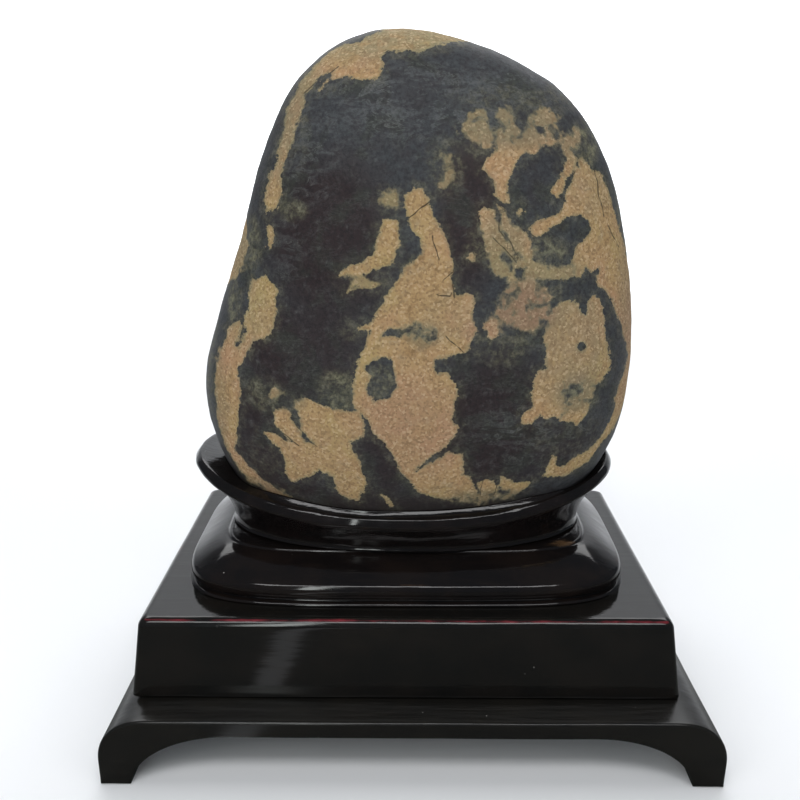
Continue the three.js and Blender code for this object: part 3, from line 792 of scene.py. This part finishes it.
# Buff sandstone: tones, brown stains, dark and light grains.
def buffRock(tree, values):
    finish, cloud = stoneFinish, values["cloud"]
    buff = overlaid(tree, values, finish["yellowBuff"], finish["buffTones"])
    stain = rampNode(tree, values["clumps"], 0.46, 0.7)
    stain = mathNode(tree, "MULTIPLY", stain, rampNode(tree, values["broad"], 0.44, 0.6, 0, 0.6))
    buff = mixColour(tree, stain, buff, finish["stain"])
    buff = mixColour(tree, mathNode(tree, "MULTIPLY", values["mottled"], 0.62), buff, finish["olive"])
    greyness = mathNode(tree, "MULTIPLY", values["greyed"], rampNode(tree, cloud, 0.25, 0.6, 0.3, 0.85))
    buff = mixColour(tree, greyness, buff, finish["oldBuff"])
    rosiness = mathNode(tree, "MULTIPLY", values["rosy"], rampNode(tree, cloud, 0.3, 0.6, 0.5, 0.95))
    buff = mixColour(tree, rosiness, buff, finish["rosy"])
    return overlaid(tree, values, buff, finish["buffGrains"])


# Hairlines, drawn thinner in places, and fainter on the dark rock.
def crackLines(tree, values, buffMask):
    width = rampNode(tree, values["clumps"], 0.3, 0.55)
    width = mathNode(tree, "MULTIPLY", stoneFinish["crackWidth"], width)
    inside = mathNode(tree, "SUBTRACT", width, mathNode(tree, "ABSOLUTE", values["crack"]))
    mask = rampNode(tree, inside, -0.16, 0.1)
    mask = mathNode(tree, "MULTIPLY", mask, rampNode(tree, values["crackNear"], 1.6, 0.8))
    return mathNode(tree, "MULTIPLY", mask, mathNode(tree, "MULTIPLY_ADD", buffMask, 0.85, 0.15))


def stoneMaterial():
    finish = stoneFinish
    material, tree, shader = newMaterial("waterWornRock")
    place = addNode(tree, "ShaderNodeTexCoord").outputs["Object"]
    values = {name: maskOf(tree, name) for name in ("patch", "crack", "crackNear", *softSpots)}
    for name, settings in finish["noises"].items():
        values[name] = noiseNode(tree, place, *settings)
    cells = addNode(tree, "ShaderNodeTexVoronoi", {"Vector": place, "Scale": finish["grainScale"]})
    values["cells"] = addNode(tree, "ShaderNodeSeparateColor", {0: cells.outputs["Color"]}).outputs[0]
    values["edge"], buffMask = patchEdge(tree, values)
    colour = mixColour(tree, buffMask, darkRock(tree, place, values), buffRock(tree, values))
    height = addNode(tree, "ShaderNodeSeparateXYZ", {0: place}).outputs["Z"]
    # painted shade: darker towards the bottom where the stone sits in the collar, less on the buff
    seatShade = rampNode(tree, height, *finish["seatShadeFrom"], 0.85, 0.0)
    seatShade = mathNode(tree, "MULTIPLY", seatShade, mathNode(tree, "MULTIPLY_ADD", buffMask, -0.5, 1.0))
    colour = mixColour(tree, seatShade, colour, finish["seatShade"])
    crackMask = crackLines(tree, values, buffMask)
    colour = mixColour(tree, mathNode(tree, "MULTIPLY", crackMask, 0.8), colour, finish["crack"])
    tree.links.new(colour, shader.inputs["Base Color"])
    rough = rampNode(tree, values["clumps"], 0.3, 0.7, 0.5, 0.64)
    rough = mathNode(tree, "MULTIPLY_ADD", buffMask, 0.25, rough)
    tree.links.new(rough, shader.inputs["Roughness"])
    shader.inputs["Specular IOR Level"].default_value = 0.17
    sandy = mathNode(tree, "MULTIPLY_ADD", buffMask, 0.9, 0.25)
    relief = mathNode(tree, "MULTIPLY", values["grain"], sandy)
    for value, depth in ((values["fine"], 0.5), (values["clumps"], 0.6), (buffMask, -0.5), (crackMask, -1.0)):
        relief = mathNode(tree, "MULTIPLY_ADD", value, depth, relief)
    bump = addNode(tree, "ShaderNodeBump", {"Height": relief, "Strength": 0.6, "Distance": 0.4 * mm})
    tree.links.new(bump.outputs[0], shader.inputs["Normal"])
    return material


stonePiece = buildStone()
finishPiece(stonePiece, "stone", stoneMaterial())


# Lacquered wood. Every board's grain runs along X.

# Brush strokes left in the lacquer: long ridges along X, and how the gloss changes with them.
def brushStrokesGroup():
    group, given, out = newGroup(
        "brushStrokes",
        [("Scale", "NodeSocketFloat")],
        [("Height", "NodeSocketFloat"), ("Streak", "NodeSocketFloat"), ("Patchy", "NodeSocketFloat")],
    )
    place = addNode(group, "ShaderNodeTexCoord").outputs["Object"]
    scaled = addNode(group, "ShaderNodeVectorMath", {0: place, "Scale": given["Scale"]}, operation="SCALE")

    def stretched(size, detail, roughness):
        mapped = addNode(group, "ShaderNodeMapping", {"Vector": scaled.outputs[0], "Scale": size})
        return noiseNode(group, mapped.outputs[0], 1.0, detail, roughness, 0.2)

    bristles = stretched((45, 520, 520), 3, 0.6)
    strokes = stretched((18, 170, 170), 2, 0.5)
    patchy = stretched((45, 60, 60), 4, 0.6)
    height = mathNode(group, "MULTIPLY_ADD", bristles, 0.4, strokes)
    for socket, value in (("Height", height), ("Streak", bristles), ("Patchy", patchy)):
        group.links.new(value, out.inputs[socket])
    return group


# Lacquer rubbed through along an arris: the worn mask broken up by fine noise.
def rubbedEdgeGroup():
    group, given, out = newGroup(
        "rubbedEdge",
        [("Edge", "NodeSocketFloat"), ("Amount", "NodeSocketFloat")],
        [("Rubbed", "NodeSocketFloat")],
    )
    place = addNode(group, "ShaderNodeTexCoord").outputs["Object"]
    mapped = addNode(group, "ShaderNodeMapping", {"Vector": place, "Scale": (40, 160, 160)})
    spots = noiseNode(group, mapped.outputs[0], 1.0, 5, 0.65)
    reach = mathNode(group, "MULTIPLY", given["Edge"], given["Amount"])
    total = mathNode(group, "ADD", reach, mathNode(group, "MULTIPLY_ADD", spots, 1.6, -1.3))
    group.links.new(rampNode(group, total, 0.0, 0.5), out.inputs["Rubbed"])
    return group


# Dust and lint: sparse pale specks.
def dustGroup():
    group, given, out = newGroup(
        "dust",
        [("Amount", "NodeSocketFloat")],
        [("Specks", "NodeSocketFloat")],
    )
    place = addNode(group, "ShaderNodeTexCoord").outputs["Object"]
    cells = addNode(group, "ShaderNodeTexVoronoi", {"Vector": place, "Scale": 230.0})
    near = rampNode(group, cells.outputs["Distance"], 0.1, 0.04)
    chosen = noiseNode(group, place, 60, 2, 0.5)
    kept = mathNode(group, "MULTIPLY", near, rampNode(group, chosen, 0.6, 0.7))
    group.links.new(mathNode(group, "MULTIPLY", kept, given["Amount"]), out.inputs["Specks"])
    return group


woodGroups = {"strokes": brushStrokesGroup(), "rubbed": rubbedEdgeGroup(), "dust": dustGroup()}
dustColour = (0.32, 0.31, 0.29, 1)
lacquerIor = 1.42


def lacquerMaterial(name, finish):
    material, tree, shader = newMaterial(name)
    strokes = placeGroup(tree, woodGroups["strokes"], {"Scale": finish["strokeScale"]})
    rubbed = placeGroup(tree, woodGroups["rubbed"], {"Edge": maskOf(tree, "edge"), "Amount": finish["wear"]})
    specks = placeGroup(tree, woodGroups["dust"], {"Amount": finish["dust"]})
    patchy = rampNode(tree, strokes["Patchy"], 0.35, 0.7)
    colour = mixColour(tree, patchy, finish["colour"], finish["brown"])
    colour = mixColour(tree, rampNode(tree, strokes["Streak"], 0.55, 0.75, 0, 0.5), colour, finish["streak"])
    colour = mixColour(tree, rubbed["Rubbed"], colour, finish["rubbed"])
    colour = mixColour(tree, specks["Specks"], colour, dustColour)
    tree.links.new(colour, shader.inputs["Base Color"])
    rough = mathNode(tree, "MULTIPLY_ADD", strokes["Streak"], finish["roughRange"], finish["rough"])
    rough = mathNode(tree, "MULTIPLY_ADD", rubbed["Rubbed"], 0.2, rough, clamp=True)
    tree.links.new(rough, shader.inputs["Roughness"])
    shader.inputs["IOR"].default_value = lacquerIor
    bump = addNode(tree, "ShaderNodeBump", {"Height": strokes["Height"], "Strength": 1.0,
                                            "Distance": finish["strokeDepth"]})
    tree.links.new(bump.outputs[0], shader.inputs["Normal"])
    return material


# The collar: a flare that rises from an oval foot to a lip, and a rim that climbs into an ear at
# each end. Its inside follows the stone with a little room.

collarBuild = {
    "around": 288,
    "footHalfWidth": 79 * mm,
    "footHalfDepth": 42 * mm,
    "lipHalfWidth": 94 * mm,
    "lipHalfDepth": 52 * mm,
    "lipShift": -1.2 * mm,  # the lip's middle, off the foot's
    "squareness": 2.3,
    "flare": 1.8,
    "flareSteps": 16,
    "flareShare": (0.12, 0.99),  # of the lip's height, where the flare leaves the toe and meets the lip
    "lipHeight": 14.5 * mm,
    "rimThickness": 4.5 * mm,
    "innerRise": 2.4 * mm,
    "earDish": 5 * mm,  # how much lower than that the rim's inside is at the ears
    "toe": 0.5 * mm,  # a small round edge where the foot stands on the tier
    "toeOut": 0.06,
    "toeSteps": 5,
    # the lip's profile: growth from foot to lip, and share of the rim's thickness
    "lip": ((0.995, 0.02), (1.008, 0.07), (1.016, 0.14), (1.018, 0.22), (1.014, 0.32), (1.002, 0.42),
            (0.975, 0.56), (0.94, 0.72), (0.9, 0.87), (0.85, 1.0)),
    "earRise": (14.5 * mm, 13 * mm),  # left and right
    "earSharpness": 2.4,
    "rimSteps": 10,
    "rimSag": 0.5 * mm,
    "wallSteps": 8,
    "wallEnd": 0.4 * mm,  # above the foot, from where the inner wall drops straight down
    "room": 0.35 * mm,  # between the wood and the stone
    "toolMarks": 0.28 * mm,
    "toolSize": 9 * mm,
}


def buildCollar(stoneTree):
    build = collarBuild
    bottom = collarLow.z
    rings = []
    edges = []

    def ring(growth, heightOf, edge):
        halfX = build["footHalfWidth"] + growth * (build["lipHalfWidth"] - build["footHalfWidth"])
        halfY = build["footHalfDepth"] + growth * (build["lipHalfDepth"] - build["footHalfDepth"])
        x, y, side = superOval(halfX, halfY, build["squareness"], build["around"])
        rise = np.where(side < 0, *build["earRise"]) * np.abs(side) ** build["earSharpness"]
        points = np.stack([stackX + growth * build["lipShift"] + x, y, bottom + heightOf(rise)], axis=1)
        rings.append(points)
        edges.append(np.full(build["around"], edge))
        return points

    toe = build["toe"]
    ring(0.0, lambda rise: 0 * rise, 0.5)
    for step in range(build["toeSteps"]):
        angle = (step / (build["toeSteps"] - 1) - 0.4) * math.pi / 2
        out = build["toeOut"] * math.cos(angle)
        ring(out, lambda rise: toe * (1 + math.sin(angle)) + 0 * rise, 0.4)
    flareFrom, flareTo = build["flareShare"]
    for step in range(1, build["flareSteps"] + 1):
        share = flareFrom + (flareTo - flareFrom) * step / build["flareSteps"]
        ring(share ** build["flare"], lambda rise: share * (build["lipHeight"] + rise), 0.25 * share)
    for growth, lift in build["lip"]:
        ring(growth, lambda rise: build["lipHeight"] + rise + lift * build["rimThickness"], 0.6)
    outer = rings[-1]
    outside = len(rings) * build["around"]
    # the rim's inner edge, where it meets the stone: higher than the lip, but lower at the ears
    side = np.abs(outer[:, 0] - stackX) / build["lipHalfWidth"]
    climb = build["innerRise"] - build["earDish"] * smoothStep(0.55, 0.95, side)
    inner = []
    for point, rise in zip(outer, climb):
        inner.append(stoneEdge(stoneTree, point, point[2] + rise, build["room"]))
    inner = np.array(inner)
    for step in range(1, build["rimSteps"] + 1):
        share = step / build["rimSteps"]
        points = outer + share * (inner - outer)
        points[:, 2] -= build["rimSag"] * math.sin(share * math.pi)
        rings.append(points)
        edges.append(np.full(build["around"], 0.55 * (1 - share) ** 2 + 0.1))
    for step in range(1, build["wallSteps"] + 1):
        share = step / build["wallSteps"]
        height = inner[:, 2] + share * (bottom + build["wallEnd"] - inner[:, 2])
        points = [stoneEdge(stoneTree, p, h, build["room"]) for p, h in zip(inner, height)]
        rings.append(np.array(points))
        edges.append(np.zeros(build["around"]))
    last = rings[-1].copy()
    last[:, 2] = bottom
    rings.append(last)
    edges.append(np.zeros(build["around"]))
    points = np.concatenate(rings)
    faces = loftFaces(len(rings), build["around"], closed=True)
    points[:outside] = handWorked(points[:outside], build["toolMarks"], build["toolSize"], seed=2.0)
    return makePiece("stand_collar", points, faces, {"edge": np.concatenate(edges)})


# The point at a height where the stone's surface lies, seen from the stand's middle axis towards a
# given point, moved out by a little room.
def stoneEdge(stoneTree, towards, height, room):
    direction = Vector((towards[0] - stackX, towards[1], 0)).normalized()
    hit = stoneTree.ray_cast(Vector((stackX, 0, height)), direction)[0]
    place = hit + room * direction
    return (place.x, place.y, height)


collarFinish = {
    "colour": (0.005, 0.0042, 0.004, 1),
    "brown": (0.009, 0.0065, 0.006, 1),
    "streak": (0.012, 0.009, 0.0085, 1),
    "rubbed": (0.07, 0.04, 0.026, 1),
    "wear": 0.45,
    "dust": 0.6,
    "rough": 0.04,
    "roughRange": 0.1,
    "strokeScale": 1.2,
    "strokeDepth": 0.15 * mm,
}

stoneTree = BVHTree.FromObject(stonePiece, bpy.context.evaluated_depsgraph_get())
collarPiece = buildCollar(stoneTree)
finishPiece(collarPiece, "collar", lacquerMaterial("collarLacquer", collarFinish))


# The seat tier: a bead round the lower edge, a sloping top, a flat, and a dish for the stone.

tierBuild = {
    "around": 360,
    "squareness": 4.6,
    "bead": 9.5 * mm,
    "beadDepth": 2.85 * mm,
    "beadTurn": (-87, 69),  # degrees, from the small edge under it to where it runs into the slope
    "beadSteps": 18,
    "slopeEnd": 15.85 * mm,
    "slopeRound": 1.2,  # radians of a sine wave that the slope follows
    "slopeSteps": 16,
    "fillet": 0.75 * mm,  # half the height of the small edge under the bead
    # the small edges under the bead and round the flat, as (inset, height) in millimetres
    "filletProfile": ((-0.45, 0.0), (-0.45, 0.45), (-0.36, 0.68), (-0.02, 1.02), (0.25, 1.2), (0.9, 1.4)),
    "arrisProfile": ((0.0, -0.75), (0.04, -0.65), (0.1, -0.52), (0.46, -0.16), (0.7, -0.05), (1.1, 0.0)),
    "flatInsets": (0.7, 1.5, 2.5, 4.5, 8),  # mm
    "flatDrop": 0.15 * mm,
    "dishDrops": (0.0, 1.5, 3.0, 4.5, 5.5),  # mm
    "dishFloor": 2.2 * mm,  # below the last of them
    "bareWood": ((68, -33), 9, 1.3),  # its place from the stand's middle, its reach in mm and its strength
    "wander": 0.22 * mm,
    "wanderSize": 30 * mm,
    "room": 0.35 * mm,
}


def buildTier(stoneTree):
    build = tierBuild
    halfX = (tierHigh.x - tierLow.x) / 2
    halfY = (tierHigh.y - tierLow.y) / 2
    depth = build["beadDepth"]
    fillet = build["fillet"]
    profile = [(fillet, 0.0, 0.0)]
    for inset, z in build["filletProfile"]:
        profile.append((inset * mm, z * mm, 0.3))
    profile.append((depth + 0.1 * mm, 2 * fillet + 0.05 * mm, 0.0))
    beadHeight = build["bead"] - 2 * fillet
    turnFrom, turnTo = build["beadTurn"]
    for step in range(1, build["beadSteps"] + 1):
        angle = math.radians(turnFrom + (turnTo - turnFrom) * step / build["beadSteps"])
        beadTop = 2 * fillet + beadHeight / 2 * (1 + math.sin(angle))
        profile.append((depth * (1 - math.cos(angle)), beadTop, max(0, math.sin(angle)) ** 2))
    height = tierHigh.z - tierLow.z
    startInset, startZ, _ = profile[-1]
    slopeRound = build["slopeRound"]
    arrisProfile = build["arrisProfile"]
    slopeTop = height + arrisProfile[0][1] * mm
    for step in range(1, build["slopeSteps"] + 1):
        share = step / build["slopeSteps"]
        rise = (slopeTop - startZ) * math.sin(share * slopeRound) / math.sin(slopeRound)
        profile.append((startInset + share * (build["slopeEnd"] - startInset), startZ + rise, 0.1))
    flatStart = profile[-1][0]
    for inset, z in arrisProfile[1:]:
        profile.append((flatStart + inset * mm, height + z * mm, 0.4))
    flatStart = profile[-1][0]
    for inset in build["flatInsets"]:
        profile.append((flatStart + inset * mm, height - build["flatDrop"], 0.3))
    rings = []
    edges = []
    for inset, z, edge in profile:
        x, y, _ = superOval(halfX - inset, halfY - inset, build["squareness"], build["around"])
        rings.append(np.stack([stackX + x, y, np.full(build["around"], tierLow.z + z)], axis=1))
        edges.append(np.full(build["around"], edge))
    # the dish under the stone
    for drop in build["dishDrops"]:
        level = tierHigh.z - drop * mm
        ring = [stoneEdge(stoneTree, point, level, build["room"]) for point in rings[-1]]
        rings.append(np.array(ring))
        edges.append(np.zeros(build["around"]))
    last = rings[-1].copy()
    last[:, 2] -= build["dishFloor"]
    rings.append(last)
    edges.append(np.zeros(build["around"]))
    points = np.concatenate(rings)
    worked = len(profile) * build["around"]
    points[:worked] = handWorked(points[:worked], build["wander"], build["wanderSize"], seed=4.0)
    points[:build["around"], 2] = tierLow.z
    edges = np.concatenate(edges)
    (bareX, bareY), reach, strength = build["bareWood"]
    away = np.hypot(points[:, 0] - stackX - bareX * mm, points[:, 1] - bareY * mm) / (reach * mm)
    edges += strength * np.exp(-away ** 2) * (points[:, 2] > tierLow.z + build["bead"])
    return makePiece("stand_seat_tier", points, cappedFaces(len(rings), build["around"]), {"edge": edges})


tierFinish = {
    "colour": (0.0055, 0.0045, 0.0045, 1),
    "brown": (0.010, 0.007, 0.006, 1),
    "streak": (0.014, 0.010, 0.0085, 1),
    "rubbed": (0.11, 0.062, 0.03, 1),
    "wear": 0.45,
    "dust": 0.7,
    "rough": 0.035,
    "roughRange": 0.09,
    "strokeScale": 1.0,
    "strokeDepth": 0.11 * mm,
}

tierPiece = buildTier(stoneTree)
finishPiece(tierPiece, "seat_tier", lacquerMaterial("tierLacquer", tierFinish))


# The plinth: a low block whose sides lean in, its top edge rounded over by hand.

plinthBuild = {
    "alongX": 120,
    "alongY": 76,
    "cornerSteps": 8,
    "cornerRadius": 3 * mm,
    "lean": 4.2 * mm,
    "footEdge": 0.5 * mm,
    "edgeRadius": 3.5 * mm,
    "edgeSteps": 10,
    "rubbedAt": (55, 16),  # degrees round the top edge, and how far to either side
    "sideRub": 0.45,  # as much as the front, elsewhere
    "topInsets": (4.5, 6, 8, 10.5, 13, 16, 20, 24, 28),  # mm
    "levels": 16,
    "wander": 0.28 * mm,
    "wanderSize": 38 * mm,
}


def plateRing(halfX, halfY, radius, build):
    corners = [(1, 1), (-1, 1), (-1, -1), (1, -1)]
    points = []
    for corner, (signX, signY) in enumerate(corners):
        centre = np.array([signX * (halfX - radius), signY * (halfY - radius)])
        for step in range(build["cornerSteps"] + 1):
            angle = (corner + step / build["cornerSteps"]) * math.pi / 2
            points.append(centre + radius * np.array([math.cos(angle), math.sin(angle)]))
        nextX, nextY = corners[(corner + 1) % 4]
        target = np.array([nextX * (halfX - radius), nextY * (halfY - radius)])
        angle = (corner + 1) * math.pi / 2
        target = target + radius * np.array([math.cos(angle), math.sin(angle)])
        count = build["alongX"] if corner % 2 == 0 else build["alongY"]
        start = points[-1]
        points += [start + (target - start) * step / count for step in range(1, count)]
    return np.array(points)


def buildPlinth():
    build = plinthBuild
    halfX = (plinthHigh.x - plinthLow.x) / 2
    halfY = (plinthHigh.y - plinthLow.y) / 2
    height = plinthHigh.z - plinthLow.z
    roundFrom = height - build["edgeRadius"]
    footEdge = build["footEdge"]
    profile = [(footEdge, 0.0, 0.2)]
    for level in range(build["levels"] + 1):
        z = footEdge + (roundFrom - footEdge) * level / build["levels"]
        profile.append((0.0, z, 0.15 * (level == 0)))
    rubbedAngle, rubbedReach = build["rubbedAt"]
    for step in range(1, build["edgeSteps"] + 1):
        angle = step / build["edgeSteps"] * math.pi / 2
        inset = build["edgeRadius"] * (1 - math.cos(angle))
        worn = math.exp(-((math.degrees(angle) - rubbedAngle) / rubbedReach) ** 2)
        profile.append((inset, roundFrom + build["edgeRadius"] * math.sin(angle), worn))
    for inset in build["topInsets"]:
        profile.append((inset * mm, height, 0.0))
    rings = []
    edges = []
    for inset, z, edge in profile:
        inset += build["lean"] * z / height
        ring = plateRing(halfX - inset, halfY - inset, build["cornerRadius"], build)
        rings.append(np.column_stack([stackX + ring[:, 0], ring[:, 1], np.full(len(ring), plinthLow.z + z)]))
        front = smoothStep(-0.9 * halfY, -0.96 * halfY, ring[:, 1])
        edges.append(edge * (build["sideRub"] + (1 - build["sideRub"]) * front))
    count = len(rings[0])
    points = handWorked(np.concatenate(rings), build["wander"], build["wanderSize"], seed=6.0)
    points[:count, 2] = plinthLow.z
    return makePiece("stand_plinth", points, cappedFaces(len(rings), count), {"edge": np.concatenate(edges)})


plinthFinish = {
    "colour": (0.006, 0.0058, 0.0054, 1),
    "brown": (0.009, 0.0078, 0.0068, 1),
    "streak": (0.013, 0.011, 0.009, 1),
    "rubbed": (0.21, 0.018, 0.028, 1),
    "wear": 1.2,
    "dust": 0.5,
    "rough": 0.045,
    "roughRange": 0.1,
    "strokeScale": 1.0,
    "strokeDepth": 0.1 * mm,
}

plinthPiece = buildPlinth()
finishPiece(plinthPiece, "plinth", lacquerMaterial("plinthLacquer", plinthFinish))


# The footed base: one cross-section, run from front to back, whose underside also follows the side
# arch, so that a foot is left at each corner.

baseBuild = {
    "shoulderHalfWidth": 106 * mm,
    "shoulderHeight": 11 * mm,
    "endPull": 0.6,
    "footWidth": 12.3 * mm,
    "footDepth": 20 * mm,
    "archHeight": 22.4 * mm,
    "archReach": 40 * mm,
    "sideArchHeight": 20 * mm,
    "sideArchReach": 26 * mm,
    "archSpring": (2.5 * mm, 0.66),  # the curve's handle at the foot: its lean, its share of the height
    "archEase": 0.45,  # the handle at the top, as a share of the reach
    "arris": 1.3 * mm,  # rounding along the front and back edges
    "arrisSteps": 6,
    "wander": 0.3 * mm,
    "wanderSize": 45 * mm,
}


def bezier(p0, p1, p2, p3, count):
    t = np.linspace(0, 1, count)[:, None]
    p0, p1, p2, p3 = (np.array(p, float) for p in (p0, p1, p2, p3))
    return (1 - t) ** 3 * p0 + 3 * (1 - t) ** 2 * t * p1 + 3 * (1 - t) * t ** 2 * p2 + t ** 3 * p3


# From the foot's inner corner on the floor to the arch's full height, as (place, height).
def archCurve(footInner, reach, height, count):
    archEnd = footInner - reach
    lean, springing = baseBuild["archSpring"]
    return bezier((footInner, 0), (footInner - lean, springing * height),
                  (archEnd + baseBuild["archEase"] * reach, height), (archEnd, height), count)


def baseSection(floorAt, halfWidth, height):
    build = baseBuild
    run = build["endPull"] * (halfWidth - build["shoulderHalfWidth"])
    rise = build["endPull"] * (height - build["shoulderHeight"])
    upright = np.linspace((halfWidth, 0), (halfWidth, build["shoulderHeight"]), 12)[:-1]
    curve = bezier((halfWidth, build["shoulderHeight"]), (halfWidth, build["shoulderHeight"] + rise),
                   (build["shoulderHalfWidth"] + run, height), (build["shoulderHalfWidth"], height), 60)
    outside = np.concatenate([upright, curve])
    # the outside starts where the underside is, and keeps its count of points
    heights = np.linspace(0, 1, 30)
    start = np.interp(floorAt, outside[:, 1], np.arange(len(outside)))
    places = start + (len(outside) - 1 - start) * heights
    end = np.column_stack([np.interp(places, np.arange(len(outside)), outside[:, i]) for i in (0, 1)])
    top = np.linspace((build["shoulderHalfWidth"], height), (-build["shoulderHalfWidth"], height), 122)[1:-1]
    footInner = halfWidth - build["footWidth"]
    arch = archCurve(footInner, build["archReach"], build["archHeight"], 26)
    footSole = np.linspace((-halfWidth, 0), (-footInner, 0), 6)[1:-1]
    underLeft = arch * (-1, 1)
    archTop = np.linspace(underLeft[-1], arch[-1], 70)[1:-1]
    under = np.concatenate([footSole, underLeft, archTop, arch[::-1], (footSole * (-1, 1))[::-1]])
    under[:, 1] = np.maximum(under[:, 1], floorAt)
    return np.concatenate([end, top, (end * (-1, 1))[::-1], under])


def buildBase():
    build = baseBuild
    halfWidth, halfDepth = baseHigh.x, baseHigh.y
    height = baseHigh.z
    footInner = halfDepth - build["footDepth"]
    side = archCurve(footInner, build["sideArchReach"], build["sideArchHeight"], 18)
    stations = []  # place along Y, height of the floor of the section, inset, edge mask
    arrisSteps = build["arrisSteps"]
    for step in range(arrisSteps + 1):
        angle = step / arrisSteps * math.pi / 2
        inset = build["arris"] * (1 - math.sin(angle))
        back = build["arris"] * (1 - math.cos(angle))
        stations.append((halfDepth - back, 0.0, inset, 1 - step / arrisSteps * 0.6))
    for place in np.linspace(halfDepth - build["arris"], footInner, 14)[1:-1]:
        stations.append((place, 0.0, 0.0, 0.1))
    stations += [(y, floorAt, 0.0, 0.1) for y, floorAt in side]
    stations += [(y, build["sideArchHeight"], 0.0, 0.1) for y in np.linspace(side[-1][0], 0, 16)[1:-1]]
    mirrored = [(-y, floorAt, inset, edge) for y, floorAt, inset, edge in reversed(stations)]
    stations = stations + [(0.0, build["sideArchHeight"], 0.0, 0.1)] + mirrored
    rings = []
    edges = []
    for y, floorAt, inset, edge in stations:
        section = baseSection(floorAt, halfWidth, height)
        if inset:
            section = insetSection(section, inset)
        rings.append(np.column_stack([section[:, 0], np.full(len(section), y), section[:, 1]]))
        onTop = smoothStep(height * 0.35, height * 0.9, section[:, 1])
        edges.append(edge * onTop)
    count = len(rings[0])
    points = np.concatenate(rings)
    floor = points[:, 2] < 0.05 * mm
    worked = handWorked(points, build["wander"], build["wanderSize"], seed=9.0)
    worked[floor, 2] = 0
    masks = {"edge": np.concatenate(edges)}
    return makePiece("stand_footed_base", worked, cappedFaces(len(rings), count), masks)


# A section drawn in towards its inside by a small distance.
def insetSection(section, distance):
    ahead = np.roll(section, -1, axis=0) - np.roll(section, 1, axis=0)
    length = np.linalg.norm(ahead, axis=1, keepdims=True)
    inward = np.column_stack([-ahead[:, 1], ahead[:, 0]]) / np.maximum(length, 1e-9)
    return section + distance * inward


baseFinish = {
    "colour": (0.007, 0.0066, 0.006, 1),
    "brown": (0.010, 0.009, 0.0075, 1),
    "streak": (0.016, 0.0145, 0.0125, 1),
    "rubbed": (0.04, 0.03, 0.024, 1),
    "wear": 0.3,
    "dust": 0.8,
    "rough": 0.13,
    "roughRange": 0.2,
    "strokeScale": 0.9,
    "strokeDepth": 0.2 * mm,
}

basePiece = buildBase()
finishPiece(basePiece, "footed_base", lacquerMaterial("baseLacquer", baseFinish))
